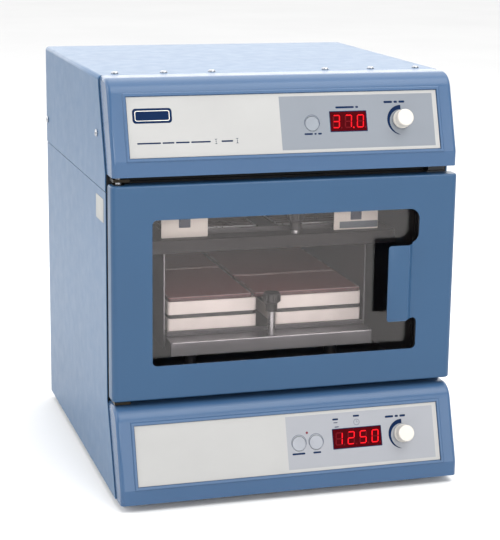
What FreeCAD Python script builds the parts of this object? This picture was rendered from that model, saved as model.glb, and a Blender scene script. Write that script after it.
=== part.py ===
"""Benchtop microplate shaker incubator.

A heated chamber with a glazed door stands between two sloping control fascias. Inside it a
two-deck carrier rides on three small cranks and travels round a 1.5 mm circle.

Frame: +Z up, -Y is the front (door side), +X is to the right when facing the door. The origin is
under the middle of the overall box, on the surface that the feet stand on. All lengths are
millimetres. "Back" distances are measured behind the front edge of the case sides, and "up"
heights from the underside of the case.
"""
import FreeCAD, Part
import math
import os
import Sketcher

SHEET_VALUES = {
    # case
    "case_width": 368.0, "case_height": 423.6, "case_depth": 344.1, "foot_height": 8.0,
    "origin_depth": 140.75, "skin": 1.2, "cover_fold": 4.0, "side_inset": 0.3,
    "cover_seam": 311.4, "upper_slant": 34.2, "lower_slant": 37.6, "body_skin": 1.0,
    "flange_skin": 0.8, "flange_front": 34.0, "flange_low": 300.0, "flange_high": 376.0,
    "rear_flange": 12.0, "foot_radius": 14.0, "foot_across": 150.0, "foot_front": 22.0,
    "foot_rear": 318.0,
    # case screws and louvres
    "screw_hole": 2.2, "screw_shank": 1.9, "screw_head": 3.75, "head_rise": 1.5,
    "roof_screw_back": 47.6, "roof_screw_first": 61.6, "roof_screw_step": 50.9,
    "slot_wide": 46.0, "slot_high": 4.0, "slot_bend": 1.9,
    # fascias (one mould, used twice)
    "fascia_width": 365.0, "fascia_height": 94.2, "chin_height": 15.7, "lean": 18.2,
    "fascia_depth": 27.8, "fascia_wall": 2.5, "brow_radius": 20.0,
    "upper_fascia_up": 329.4, "lower_fascia_forward": 60.2,
    # overlay labels on the sloping faces (heights are vertical, above the fascia's foot)
    "label_half_width": 164.8, "label_low": 18.2, "label_high": 77.6, "label_thick": 0.5,
    "recess_depth": 0.7, "lip_width": 3.2, "lip_height": 1.2, "lip_bevel": 1.0,
    "label_gap": 0.7, "front_round": 4.0, "seam_gap": 1.0,
    "display_left": 46.2, "upper_display_right": 85.2, "lower_display_right": 99.6,
    "display_low": 38.7, "display_high": 57.8,
    "knob_across": 123.5, "knob_up": 49.0, "knob_radius": 9.0, "knob_length": 14.0,
    "button_radius": 7.4, "button_up": 46.8, "button_proud": 0.6,
    "set_button_across": 26.4, "start_button_across": 8.5, "mode_button_across": 27.3,
    # door
    "door_width": 368.0, "door_corner": 6.0,
    "door_low": 100.1, "door_high": 321.1, "door_forward": 30.1, "door_rear_gap": 3.0,
    "window_left": 142.7, "window_right": 142.6, "window_low": 135.3, "window_high": 286.1,
    "tab_left": 107.2, "tab_right": 130.5, "tab_root": 135.6, "tab_low": 167.5,
    "tab_high": 248.6, "tab_joggle": 6.0, "pane_thick": 3.0, "pane_back": 15.4,
    "hinge_across": 174.0, "hinge_forward": 16.5, "pin_radius": 3.0, "bush_radius": 5.0,
    "bush_flange": 6.2, "bush_long": 7.0, "bracket_thick": 3.0, "seal_half_width": 163.0,
    # chamber
    "liner_half_width": 150.0, "liner_low": 104.0, "liner_high": 318.0, "liner_back": 326.0,
    "liner_skin": 1.0, "fan_back": 236.0, "fan_radius": 45.0, "fan_cover_radius": 64.0,
    "fan_cover_high": 30.0, "fan_motor_radius": 28.0, "heater_radius": 56.0,
    "probe_across": 136.0, "probe_back": 70.0, "probe_long": 45.0, "foam_thick": 20.0,
    # carrier
    "lower_half_width": 111.5, "upper_half_width": 135.0, "deck_front": 18.0,
    "deck_back": 318.0, "deck_skin": 1.5, "rack_front": 46.0, "rack_skin": 1.5,
    "lower_deck_up": 145.1, "upper_deck_up": 254.3, "lower_flange": 15.0, "upper_flange": 14.0,
    "plate_wide": 98.0, "plate_deep": 130.0, "plate_tall": 14.1, "lid_tall": 4.2,
    "plate_pitch": 18.3, "nest_floor": 3.9, "nest_play": 0.8, "plate_bend": 3.0,
    "plate_front": 46.0, "plate_inner": 10.4, "plate_row_gap": 6.0, "nest_height": 5.3,
    "cover_joint": 14.0, "cover_gap": 3.0, "right_cover_rear": 129.0,
    "nest_half_width": 110.5, "nest_front": 41.0, "nest_back": 316.0,
    "hold_front": 26.0, "lower_hold_rise": 26.0, "upper_hold_rise": 4.0,
    "upper_hold_across": 25.0, "hold_post_radius": 4.0, "hold_knob_radius": 9.6,
    "post_radius": 7.0, "post_across": 80.0, "post_front": 62.0, "post_rear": 300.0,
    # drive
    "orbit_offset": 0.75, "crank_back": 180.0, "idler_across": 75.0, "idler_front": 80.0,
    "idler_rear": 280.0, "drive_pulley_radius": 45.0, "motor_pulley_radius": 15.0,
    "motor_across": 125.0, "motor_back": 80.0, "belt_thick": 2.0, "bench_plate_up": 33.0,
    "drive_frame_up": 56.0, "drive_frame_thick": 8.0, "shaft_radius": 6.0,
    "running_gap": 0.05, "pulley_up": 10.0, "pulley_high": 12.0, "pulley_rim": 3.0,
    "pulley_rim_thick": 1.5, "crank_pin_radius": 5.0, "base_bearing_radius": 12.9,
    "carrier_bearing_radius": 10.95, "weight_radius": 32.0, "motor_radius": 27.0,
    "motor_high": 50.0, "motor_shaft_radius": 4.0,
}

document = FreeCAD.newDocument("shaker_incubator")


class Size:
    """A length with its value now and the sheet formula that keeps it up to date."""

    def __init__(self, number, formula=None):
        self.number = float(number)
        self.formula = formula if formula is not None else repr(float(number))

    def _joined(self, sign, other, number):
        return Size(number, f"({self.formula} {sign} {sized(other).formula})")

    def __add__(self, other):
        return self._joined("+", other, self.number + sized(other).number)

    def __sub__(self, other):
        return self._joined("-", other, self.number - sized(other).number)

    def __mul__(self, other):
        return self._joined("*", other, self.number * sized(other).number)

    def __truediv__(self, other):
        return self._joined("/", other, self.number / sized(other).number)

    def __radd__(self, other):
        return sized(other) + self

    def __rsub__(self, other):
        return sized(other) - self

    def __rmul__(self, other):
        return sized(other) * self

    def __neg__(self):
        return Size(-self.number, f"(0 - {self.formula})")

    def sine(self):
        return Size(math.sin(math.radians(self.number)), f"sin({self.formula} * 1 deg)")

    def cosine(self):
        return Size(math.cos(math.radians(self.number)), f"cos({self.formula} * 1 deg)")


def sized(value):
    return value if isinstance(value, Size) else Size(value)


class Sizes:
    """The driving dimensions, each readable by its name in the sheet."""

    def __init__(self, values):
        self.sheet = document.addObject("Spreadsheet::Sheet", "Sizes")
        for row, (name, value) in enumerate(values.items(), start=1):
            self.sheet.set(f"A{row}", name)
            self.sheet.set(f"B{row}", str(value))
            self.sheet.setAlias(f"B{row}", name)
            setattr(self, name, Size(value, f"Sizes.{name}"))


sizes = Sizes(SHEET_VALUES)
document.recompute()
NODES = []


def back(distance):
    """The y of a place this far behind the front edge of the case sides."""
    return sized(distance) - sizes.origin_depth


def up(height):
    """The z of a place this far above the underside of the case."""
    return sized(height) + sizes.foot_height


def bind(item, path, size):
    item.setExpression(path, sized(size).formula)


# ---------------------------------------------------------------- sketches and features

PLANES = {"XY": "XY_Plane", "XZ": "XZ_Plane", "YZ": "YZ_Plane"}


class Piece:
    """One sub-part: a body whose features are slabs, turned shapes and cuts bound to the sheet."""

    def __init__(self, label):
        self.body = document.addObject("PartDesign::Body", label)
        self.body.Label = label
        self.body.AllowCompound = True
        self.label = label
        self.count = 0
        NODES.append(self)

    def _sketch(self, plane):
        self.count += 1
        sketch = self.body.newObject("Sketcher::SketchObject", f"{self.label}_sketch_{self.count}")
        role = PLANES[plane]
        support = [item for item in self.body.Origin.OriginFeatures if item.Role == role][0]
        sketch.AttachmentSupport = (support, [""])
        sketch.MapMode = "FlatFace"
        return sketch

    def _flat_sketch(self, plane, low, high, outlines):
        """A sketch on an origin plane, lifted so that it is the slab's face at its lowest depth."""
        sketch = self._sketch(plane)
        bind(sketch, "AttachmentOffset.Base.z", -sized(high) if plane == "XZ" else low)
        draw_on(sketch, outlines)
        return sketch

    def _sloped_sketch(self, foot, outlines, depth):
        """A sketch on a leaning face: its origin is at foot (back, up) and it faces outwards."""
        sketch = self._sketch("XZ")
        sketch.AttachmentOffset = FreeCAD.Placement(
            FreeCAD.Vector(), FreeCAD.Rotation(FreeCAD.Vector(-1, 0, 0), sizes.lean.number))
        bind(sketch, "AttachmentOffset.Rotation.Angle", sizes.lean)
        outward = sized(depth)
        bind(sketch, "AttachmentOffset.Base.y", foot[1] + outward * sizes.lean.sine())
        bind(sketch, "AttachmentOffset.Base.z", outward * sizes.lean.cosine() - foot[0])
        draw_on(sketch, outlines)
        return sketch

    def _extrude(self, kind, sketch, length):
        feature = self.body.newObject(f"PartDesign::{kind}", f"{self.label}_{kind}_{self.count}")
        feature.Profile = sketch
        feature.Reversed = kind == "Pocket"
        bind(feature, "Length", length)
        sketch.Visibility = False
        return feature

    def _checked_cut(self, make):
        document.recompute()
        before = self.body.Shape.Volume
        feature = make()
        document.recompute()
        if not self.body.Shape.Volume < before - 1e-6:
            raise ValueError(f"{self.label}: a cut removed nothing")
        return feature

    def slab(self, plane, low, high, *outlines):
        sketch = self._flat_sketch(plane, low, high, outlines)
        self._extrude("Pad", sketch, sized(high) - low)
        return self

    def cut(self, plane, low, high, *outlines):
        def make():
            sketch = self._flat_sketch(plane, low, high, outlines)
            return self._extrude("Pocket", sketch, sized(high) - low)
        self._checked_cut(make)
        return self

    def slope_slab(self, foot, low, high, *outlines):
        sketch = self._sloped_sketch(foot, outlines, low)
        self._extrude("Pad", sketch, sized(high) - low)
        return self

    def slope_cut(self, foot, low, high, *outlines):
        def make():
            sketch = self._sloped_sketch(foot, outlines, low)
            return self._extrude("Pocket", sketch, sized(high) - low)
        self._checked_cut(make)
        return self

    def turned(self, profile, kind="Revolution"):
        """A full turn of a half profile of (radius, height) points about the piece's own Z axis."""
        sketch = self._sketch("XZ")
        draw_on(sketch, [polygon(profile)])
        feature = self.body.newObject(f"PartDesign::{kind}", f"{self.label}_turn_{self.count}")
        feature.Profile = sketch
        feature.ReferenceAxis = (sketch, ["V_Axis"])
        feature.Angle = 360.0
        sketch.Visibility = False
        return self

    def rounded(self, radius, chosen, kind="Fillet"):
        """Rounds or bevels the edges whose middle points the chosen function accepts."""
        document.recompute()
        names = []
        for index, edge in enumerate(self.body.Shape.Edges, start=1):
            middle = edge.valueAt((edge.FirstParameter + edge.LastParameter) / 2)
            if chosen(edge, middle):
                names.append(f"Edge{index}")
        if not names:
            raise ValueError(f"{self.label}: no edge to round")
        self.count += 1
        base = self.body.Tip
        feature = self.body.newObject(f"PartDesign::{kind}", f"{self.label}_{kind}_{self.count}")
        feature.Base = (base, names)
        bind(feature, "Radius" if kind == "Fillet" else "Size", radius)
        return self

    def place(self, across, depth, height, lean=None):
        """Puts the piece's own origin at a point; with a lean its Z axis points out of the slope."""
        if lean is not None:
            turn = FreeCAD.Rotation(FreeCAD.Vector(1, 0, 0), 90.0 - lean.number)
            self.body.Placement = FreeCAD.Placement(FreeCAD.Vector(), turn)
            bind(self.body, "Placement.Rotation.Angle", 90 - lean)
        bind(self.body, "Placement.Base.x", across)
        bind(self.body, "Placement.Base.y", depth)
        bind(self.body, "Placement.Base.z", height)
        return self


class Drawing:
    """Collects the lines and ties of a whole sketch, which are then added in one go."""

    def __init__(self):
        self.lines = []
        self.ties = []
        self.bound = []

    def tie(self, *terms):
        self.ties.append(Sketcher.Constraint(*terms))

    def measure(self, size, kind, *terms):
        """A dimension that follows the sheet."""
        self.bound.append((len(self.ties), sized(size)))
        self.tie(kind, *terms, sized(size).number)

    def pin(self, line, position, across, height):
        """Ties a point to its two distances from the sketch's origin."""
        self.measure(across, "DistanceX", -1, 1, line, position)
        self.measure(height, "DistanceY", -1, 1, line, position)

    def put_on(self, sketch):
        sketch.addGeometry(self.lines, False)
        sketch.addConstraint(self.ties)
        for index, size in self.bound:
            bind(sketch, f"Constraints[{index}]", size)


def polygon(points):
    """A closed straight-sided outline."""
    def draw(drawing):
        spots = [(sized(across), sized(height)) for across, height in points]
        vectors = [FreeCAD.Vector(across.number, height.number, 0) for across, height in spots]
        first = len(drawing.lines)
        count = len(vectors)
        for index in range(count):
            drawing.lines.append(Part.LineSegment(vectors[index], vectors[(index + 1) % count]))
        for index, (across, height) in enumerate(spots):
            drawing.tie("Coincident", first + index, 2, first + (index + 1) % count, 1)
            drawing.pin(first + index, 1, across, height)
    return draw


def rectangle(left, low, right, high):
    return polygon([(left, low), (right, low), (right, high), (left, high)])


def circle(across, height, radius):
    def draw(drawing):
        centre = FreeCAD.Vector(sized(across).number, sized(height).number, 0)
        index = len(drawing.lines)
        drawing.lines.append(Part.Circle(centre, FreeCAD.Vector(0, 0, 1), sized(radius).number))
        drawing.pin(index, 3, across, height)
        drawing.measure(radius, "Radius", index)
    return draw


def arc_between(centre, radius, start, finish):
    round_line = Part.Circle(centre, FreeCAD.Vector(0, 0, 1), radius)
    return Part.ArcOfCircle(round_line, start, finish)


def soft_rectangle(left, low, right, high, radius):
    """A rectangle with round corners: four sides joined by four tangent arcs."""
    def draw(drawing):
        west, south, east, north, bend = [sized(v).number for v in (left, low, right, high, radius)]
        first = len(drawing.lines)
        sides = [((west + bend, south), (east - bend, south)),
                 ((east, south + bend), (east, north - bend)),
                 ((east - bend, north), (west + bend, north)),
                 ((west, north - bend), (west, south + bend))]
        centres = [(east - bend, south + bend, -90), (east - bend, north - bend, 0),
                   (west + bend, north - bend, 90), (west + bend, south + bend, 180)]
        for start, finish in sides:
            drawing.lines.append(Part.LineSegment(FreeCAD.Vector(*start, 0),
                                                  FreeCAD.Vector(*finish, 0)))
        for across, height, turn in centres:
            drawing.lines.append(arc_between(FreeCAD.Vector(across, height, 0), bend,
                                             math.radians(turn), math.radians(turn + 90)))
        for index in range(4):
            arc = first + 4 + index
            drawing.tie("Tangent", first + index, 2, arc, 1)
            drawing.tie("Tangent", arc, 2, first + (index + 1) % 4, 1)
            drawing.measure(radius, "Radius", arc)
        for index, kind, size in ((0, "DistanceY", low), (1, "DistanceX", right),
                                  (2, "DistanceY", high), (3, "DistanceX", left)):
            drawing.tie("Horizontal" if kind == "DistanceY" else "Vertical", first + index)
            drawing.measure(size, kind, -1, 1, first + index, 1)
    return draw


def draw_on(sketch, outlines):
    drawing = Drawing()
    for outline in outlines:
        outline(drawing)
    drawing.put_on(sketch)


def near(value, target, slack=0.2):
    return abs(value - sized(target).number) < slack


def runs_along(edge, direction):
    """Whether a straight edge lies along X, Y or Z."""
    if edge.Curve.TypeId != "Part::GeomLine":
        return False
    line = edge.Curve.Direction
    return abs(abs((line.x, line.y, line.z)["XYZ".index(direction)]) - 1) < 1e-4


# ---------------------------------------------------------------- case

half_case = sizes.case_width / 2
half_body = half_case - sizes.side_inset
body_inner = half_body - sizes.body_skin
cover_inner = half_case - sizes.skin
half_fascia = sizes.fascia_width / 2
half_door = sizes.door_width / 2
lean_run = sizes.lean.sine() / sizes.lean.cosine()
feet_places = [(side * sizes.foot_across, distance) for side in (-1, 1)
               for distance in (sizes.foot_front, sizes.foot_rear)]


def both_sides(inner, outer):
    """The same span across on the left and on the right, each as (left, right)."""
    return ((-sized(outer), -sized(inner)), (sized(inner), sized(outer)))


def lower_body():
    """Folded tray: floor and two sides, with a flange that the top cover slips over."""
    sides = [(back(-sizes.lower_slant), up(0)), (back(sizes.case_depth), up(0)),
             (back(sizes.case_depth), up(sizes.cover_seam - sizes.seam_gap)),
             (back(0), up(sizes.cover_seam - sizes.seam_gap)), (back(0), up(sizes.fascia_height))]
    piece = Piece("lower_body")
    piece.slab("YZ", -half_body, half_body, polygon(sides))
    piece.cut("YZ", -body_inner, body_inner,
              rectangle(back(-60), up(sizes.skin), back(sizes.case_depth + 5), up(330)))
    piece.cut("YZ", -body_inner, body_inner,
              rectangle(back(-60), up(-1), back(-32.2), up(sizes.skin + 1)))
    for left, right in ((-body_inner, sizes.flange_skin - body_inner),
                        (body_inner - sizes.flange_skin, body_inner)):
        piece.slab("YZ", left, right, rectangle(back(sizes.flange_front), up(sizes.flange_low),
                                                back(sizes.case_depth - 4), up(sizes.flange_high)))
    for left, right in both_sides(body_inner - sizes.rear_flange, body_inner):
        piece.slab("XZ", back(sizes.case_depth - 2.6), back(sizes.case_depth - 1.4),
                   rectangle(left, up(1), right, up(sizes.flange_low)))


def top_cover():
    """Folded cover: the roof and the upper sides, cut back to the slope of the upper fascia."""
    sides = [(back(0), up(sizes.cover_seam)), (back(sizes.case_depth), up(sizes.cover_seam)),
             (back(sizes.case_depth), up(sizes.case_height)),
             (back(sizes.upper_slant), up(sizes.case_height)),
             (back(0), up(sizes.upper_fascia_up))]
    piece = Piece("top_cover")
    piece.slab("YZ", -half_case, half_case, polygon(sides))
    piece.rounded(sizes.cover_fold, lambda edge, middle: runs_along(edge, "Y")
                  and near(middle.z, up(sizes.case_height)))
    piece.cut("YZ", -cover_inner, cover_inner,
              rectangle(back(-10), up(300), back(sizes.case_depth + 5),
                        up(sizes.case_height - sizes.skin)))
    piece.rounded(sizes.cover_fold - sizes.skin, lambda edge, middle: runs_along(edge, "Y")
                  and near(middle.z, up(sizes.case_height - sizes.skin))
                  and near(abs(middle.x), cover_inner))
    piece.cut("XY", up(sizes.case_height - 2), up(sizes.case_height + 1),
              *[circle(across, back(sizes.roof_screw_back), sizes.screw_hole)
                for across in top_screw_places()])
    piece.cut("YZ", -half_case - 1, half_case + 1,
              *[circle(back(distance), up(height), sizes.screw_hole)
                for distance, height in SIDE_SCREWS])


SIDE_SCREWS = ((39.2, 365.0), (335.0, 338.5))
REAR_SCREWS = ((-172, 12), (172, 12), (-172, 300), (172, 300), (-172, 410), (172, 410))
INLET = (112.0, 366.0)


def top_screw_places():
    return [side * (sizes.roof_screw_first + sizes.roof_screw_step * step)
            for side in (-1, 1) for step in range(3)]


def rear_panel():
    """Flat back plate with louvre slots for the electronics and the drive, and the inlet hole."""
    piece = Piece("rear_panel")
    low, high = back(sizes.case_depth - 1.2), back(sizes.case_depth)
    piece.slab("XZ", low, high, rectangle(-body_inner + 0.6, up(1.5), body_inner - 0.6,
                                          up(sizes.case_height - 2.2)))
    slots = [louvre(left, height) for left in (-140, -86, -32) for height in (352, 362, 372, 382)]
    slots += [louvre(left, height) for left in (-77, -23, 31) for height in (30, 40, 50, 60)]
    piece.cut("XZ", low - 1, high + 1, *slots)
    piece.cut("XZ", low - 1, high + 1,
              rectangle(INLET[0] - 14, up(INLET[1] - 10.5), INLET[0] + 14, up(INLET[1] + 10.5)))
    piece.cut("XZ", low - 1, high + 1,
              *[circle(across, up(height), sizes.screw_hole) for across, height in REAR_SCREWS])


def louvre(left, height):
    """Outline of one round-ended air slot, from its lower left corner."""
    return soft_rectangle(left, up(height), left + sizes.slot_wide, up(height) + sizes.slot_high,
                          sizes.slot_bend)


def case_screws():
    """Button-head screws: six in the roof, four in the sides and six in the back plate."""
    piece = Piece("case_screws")
    shank, head, rise, skin = sizes.screw_shank, sizes.screw_head, sizes.head_rise, sizes.skin
    roof, rear = up(sizes.case_height), back(sizes.case_depth)
    roof_spots = [(across, back(sizes.roof_screw_back)) for across in top_screw_places()]
    rear_spots = [(across, up(height)) for across, height in REAR_SCREWS]
    side_spots = [(back(distance), up(height)) for distance, height in SIDE_SCREWS]
    rows = [("XY", roof - 10, roof, roof + rise, roof_spots),
            ("XZ", rear - skin, rear, rear + rise, rear_spots),
            ("YZ", half_case - skin, half_case, half_case + rise, side_spots)]
    for plane, inside, surface, outside, spots in rows:
        piece.slab(plane, inside, surface, *[circle(x, y, shank) for x, y in spots])
        piece.slab(plane, surface, outside, *[circle(x, y, head) for x, y in spots])
    piece.slab("YZ", -half_case, skin - half_case, *[circle(x, y, shank) for x, y in side_spots])
    piece.slab("YZ", -half_case - rise, -half_case, *[circle(x, y, head) for x, y in side_spots])
    piece.rounded(1.0, lambda edge, middle: edge.Curve.TypeId == "Part::GeomCircle"
                  and near(edge.Curve.Radius, head) and is_outer_head_edge(edge))


def is_outer_head_edge(edge):
    centre = edge.Curve.Center
    return (near(centre.z, up(sizes.case_height + sizes.head_rise), 0.05)
            or near(centre.y, back(sizes.case_depth + sizes.head_rise), 0.05)
            or near(abs(centre.x), half_case + sizes.head_rise, 0.05))


def feet():
    """Four moulded rubber feet under the case floor."""
    piece = Piece("feet")
    piece.slab("XY", 0, up(0), *[circle(x, back(y), sizes.foot_radius) for x, y in feet_places])
    piece.rounded(2.0, lambda edge, middle: near(middle.z, 0))


# ---------------------------------------------------------------- fascias and controls

class Fascia:
    """Where one of the two fascias stands, and how to reach places on its sloping face."""

    def __init__(self, name, forward, height):
        self.name = name
        self.forward = sized(forward)
        self.height = sized(height)
        # foot of the sloping plane: the top front edge of the chin
        self.foot = (back(-self.forward), up(self.height + sizes.chin_height))

    def along(self, rise):
        """Distance up the slope of a place at a vertical height above the fascia's foot."""
        return (sized(rise) - sizes.chin_height) / sizes.lean.cosine()

    def point(self, rise, lift):
        """(y, z) of a place on the slope, lifted off it by a distance."""
        climb = self.along(rise)
        y = self.foot[0] + climb * sizes.lean.sine() - sized(lift) * sizes.lean.cosine()
        z = self.foot[1] + climb * sizes.lean.cosine() + sized(lift) * sizes.lean.sine()
        return y, z

    def area(self, left, low, right, high):
        return rectangle(left, self.along(low), right, self.along(high))

    def spot(self, across, rise, radius):
        return circle(across, self.along(rise), radius)


upper = Fascia("upper", sizes.fascia_depth, sizes.upper_fascia_up)
lower = Fascia("lower", sizes.lower_fascia_forward, 0)


def fascia_shell(fascia, display_right, buttons):
    """Moulded hood: upright chin, leaning face, rounded brow, hollow and open at the back."""
    piece = Piece(f"{fascia.name}_fascia")
    front, foot, top = -fascia.forward, fascia.height, fascia.height + sizes.fascia_height
    slope_top = front + (sizes.fascia_height - sizes.chin_height) * lean_run
    rear = front + sizes.fascia_depth - 0.4
    rear_top = rear + sizes.upper_slant
    piece.slab("YZ", -half_fascia, half_fascia, polygon([
        (back(front), up(foot)), (back(front), up(foot + sizes.chin_height)),
        (back(slope_top), up(top)), (back(rear_top), up(top)), (back(rear), up(foot))]))
    piece.rounded(sizes.brow_radius, lambda edge, middle: runs_along(edge, "X")
                  and near(middle.y, back(slope_top)) and near(middle.z, up(top)))
    piece.rounded(sizes.front_round, lambda edge, middle: near(abs(middle.x), half_fascia)
                  and middle.y < back(slope_top + 9).number
                  and not near(middle.z, up(foot)) and not near(middle.z, up(top)))
    wall = sizes.fascia_wall
    inner_front = front + wall
    inner_top = slope_top + wall / sizes.lean.cosine() - wall * lean_run
    bevel = (sizes.brow_radius - wall) * 0.67
    piece.cut("YZ", wall - half_fascia, half_fascia - wall, polygon([
        (back(inner_front), up(foot + wall)), (back(inner_front), up(foot + sizes.chin_height)),
        (back(inner_top - bevel * sizes.lean.sine()),
         up(top - wall - bevel * sizes.lean.cosine())),
        (back(inner_top + bevel), up(top - wall)), (back(rear_top + 20), up(top - wall)),
        (back(rear_top + 20), up(foot + wall))]))
    panel_recess(piece, fascia)
    piece.slope_cut(fascia.foot, -8, 1,
                    fascia.area(sizes.display_left - 0.2, sizes.display_low - 0.2,
                                display_right + 0.2, sizes.display_high + 0.2),
                    fascia.spot(sizes.knob_across, sizes.knob_up, 3.7),
                    *[fascia.spot(across, sizes.button_up, sizes.button_radius + 0.4)
                      for across in buttons])


def panel_recess(piece, fascia):
    """A thin raised lip round a shallow recess for the overlay label."""
    wide, low, high = sizes.label_half_width, sizes.label_low, sizes.label_high
    edge = sizes.lip_width
    piece.slope_slab(fascia.foot, -0.5, sizes.lip_height,
                     fascia.area(-wide - edge, low - edge, wide + edge, high + edge))
    piece.rounded(sizes.lip_bevel, lambda line, middle: on_lip_rim(fascia, middle), "Chamfer")
    piece.slope_cut(fascia.foot, -sizes.recess_depth, 3, fascia.area(-wide, low, wide, high))


def on_lip_rim(fascia, middle):
    """Whether a point lies in the outer face of the lip."""
    y, z = fascia.foot
    lean = math.radians(sizes.lean.number)
    out = -(middle.y - y.number) * math.cos(lean) + (middle.z - z.number) * math.sin(lean)
    return near(out, sizes.lip_height, 0.05)


def overlay(fascia, display_right, buttons):
    """Printed label that lies in the recess, with openings for the controls."""
    piece = Piece(f"{fascia.name}_overlay")
    gap = sizes.label_gap
    start = -sizes.recess_depth
    piece.slope_slab(fascia.foot, start, start + sizes.label_thick,
                     fascia.area(gap - sizes.label_half_width, sizes.label_low + gap,
                                 sizes.label_half_width - gap, sizes.label_high - gap))
    piece.slope_cut(fascia.foot, -3, 1,
                    fascia.area(sizes.display_left - 0.1, sizes.display_low - 0.1,
                                display_right + 0.1, sizes.display_high + 0.1),
                    fascia.spot(sizes.knob_across, sizes.knob_up, 3.7),
                    *[fascia.spot(across, sizes.button_up, sizes.button_radius + 0.4)
                      for across in buttons])


def display(fascia, right):
    """Number display: a block behind a dark red filter, flush with the overlay."""
    piece = Piece(f"{fascia.name}_display")
    piece.slope_slab(fascia.foot, -9, -0.3, fascia.area(sizes.display_left, sizes.display_low,
                                                        right, sizes.display_high))


def control_boards():
    """The same circuit board behind each sloping face, carrying its controls."""
    piece = Piece("control_boards")
    for fascia in (upper, lower):
        piece.slope_slab(fascia.foot, -14.6, -13, fascia.area(-20, 22, 160, 74))


def rotary_controls():
    """A rotary control behind each face, its threaded nose through the panel."""
    piece = Piece("rotary_controls")
    for fascia in (upper, lower):
        piece.slope_slab(fascia.foot, -13, -2.7, fascia.spot(sizes.knob_across, sizes.knob_up, 8))
        piece.slope_slab(fascia.foot, -2.7, -0.4,
                         fascia.spot(sizes.knob_across, sizes.knob_up, 3.5))
    for fascia in (upper, lower):
        piece.slope_cut(fascia.foot, -14, 1,
                        fascia.spot(sizes.knob_across, sizes.knob_up, 3.05))


def control_shaft(fascia):
    """Spindle of the rotary control, which the knob is pushed on to."""
    piece = Piece(f"{fascia.name}_spindle")
    piece.turned([(0, -12), (3, -12), (3, 9), (0, 9)])
    y, z = fascia.point(sizes.knob_up, 0)
    piece.place(sizes.knob_across, y, z, sizes.lean)


def knob(fascia):
    """Turned control knob with a skirt, a waist and a slightly dished cap."""
    wide, tall = sizes.knob_radius, sizes.knob_length
    piece = Piece(f"{fascia.name}_knob")
    piece.turned([(3.02, 0.6), (wide, 0.6), (wide, 3), (wide - 0.7, 4), (wide - 1.0, tall - 1.6),
                  (wide - 2.4, tall), (2, tall - 0.5), (0, tall - 0.5), (0, 9.1), (3.02, 9.1)])
    y, z = fascia.point(sizes.knob_up, 0)
    piece.place(sizes.knob_across, y, z, sizes.lean)


def button(label, fascia, across):
    """Round push button with a guide stem behind it."""
    piece = Piece(label)
    wide = sizes.button_radius
    piece.turned([(0, -11), (2.4, -11), (2.4, -2), (wide, -2), (wide, sizes.button_proud - 0.4),
                  (wide - 0.4, sizes.button_proud), (0, sizes.button_proud)])
    y, z = fascia.point(sizes.button_up, -0.2)
    piece.place(across, y, z, sizes.lean)


# ---------------------------------------------------------------- door

def door_skin():
    """Folded steel door: face, four flanges, window opening and the joggled finger tab."""
    face, rear = back(-sizes.door_forward), back(-sizes.door_rear_gap)
    low, high = up(sizes.door_low), up(sizes.door_high)
    piece = Piece("door_skin")
    piece.slab("XZ", face, rear, rectangle(-half_door, low, half_door, high))
    piece.rounded(sizes.door_corner,
                  lambda edge, middle: runs_along(edge, "Z") and near(middle.y, face))
    piece.rounded(2.0, lambda edge, middle: near(middle.y, face, 2.0)
                  and (near(middle.z, low) or near(middle.z, high)) and middle.y < rear.number - 5)
    piece.rounded(10.0, lambda edge, middle: runs_along(edge, "X") and near(middle.y, rear)
                  and near(middle.z, high))
    inner = half_door - sizes.skin
    bevel = sizes.door_corner - sizes.skin
    piece.cut("XY", low + sizes.skin, high - sizes.skin, polygon([
        (-inner, rear + 1), (-inner, face + sizes.door_corner), (bevel - inner, face + sizes.skin),
        (inner - bevel, face + sizes.skin), (inner, face + sizes.door_corner), (inner, rear + 1)]))
    middle_cut = soft_rectangle(-sizes.window_left, up(sizes.window_low), sizes.tab_root,
                                up(sizes.window_high), 5)
    upper_cut = soft_rectangle(90, up(sizes.tab_high + 0.9), sizes.window_right,
                               up(sizes.window_high), 11)
    lower_cut = soft_rectangle(90, up(sizes.window_low), sizes.window_right,
                               up(sizes.tab_low + 2), 5)
    for opening in (middle_cut, upper_cut, lower_cut):
        piece.cut("XZ", face - 1, face + 3, opening)
    out = face - sizes.tab_joggle
    left, right, root, skin = sizes.tab_left, sizes.tab_right, sizes.tab_root, sizes.skin
    piece.slab("XY", up(sizes.tab_low + 1.4), up(sizes.tab_high), polygon([
        (right, out), (root, face), (root + 2, face), (root + 2, face + skin),
        (root - 0.5, face + skin), (right - 0.5, out + skin), (right - 2, out + skin),
        (right - 2, out)]))
    piece.slab("XZ", out, out + skin,
               soft_rectangle(left, up(sizes.tab_low), right, up(sizes.tab_high), 3))
    bush_hole = circle(*hinge_axis(), sizes.bush_radius + 0.1)
    piece.cut("XY", low - 1, low + 3, bush_hole)
    piece.cut("XY", high - 3, high + 1, bush_hole)


def door_liner():
    """Inner door panel that closes the back of the skin and carries the pane."""
    front = back(-sizes.pane_back + sizes.pane_thick)
    piece = Piece("door_liner")
    rear = back(-sizes.door_rear_gap - 0.2)
    inner = half_door - sizes.skin - 0.4
    piece.slab("XZ", front, rear, rectangle(-inner, up(sizes.door_low + 12), inner,
                                            up(sizes.door_high - 12)))
    piece.cut("XZ", front - 1, rear + 1,
              soft_rectangle(-151, up(127), 151, up(294), 6))
    piece.cut("XZ", front + 1.5, rear - 1.5,
              rectangle(-inner + 14, up(sizes.door_low + 14), -153, up(sizes.door_high - 14)))


def window_pane():
    """Tinted clear pane that spans the whole opening."""
    piece = Piece("window_pane")
    piece.slab("XZ", back(-sizes.pane_back), back(-sizes.pane_back + sizes.pane_thick),
               soft_rectangle(-158, up(120), 158, up(301), 4))


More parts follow.
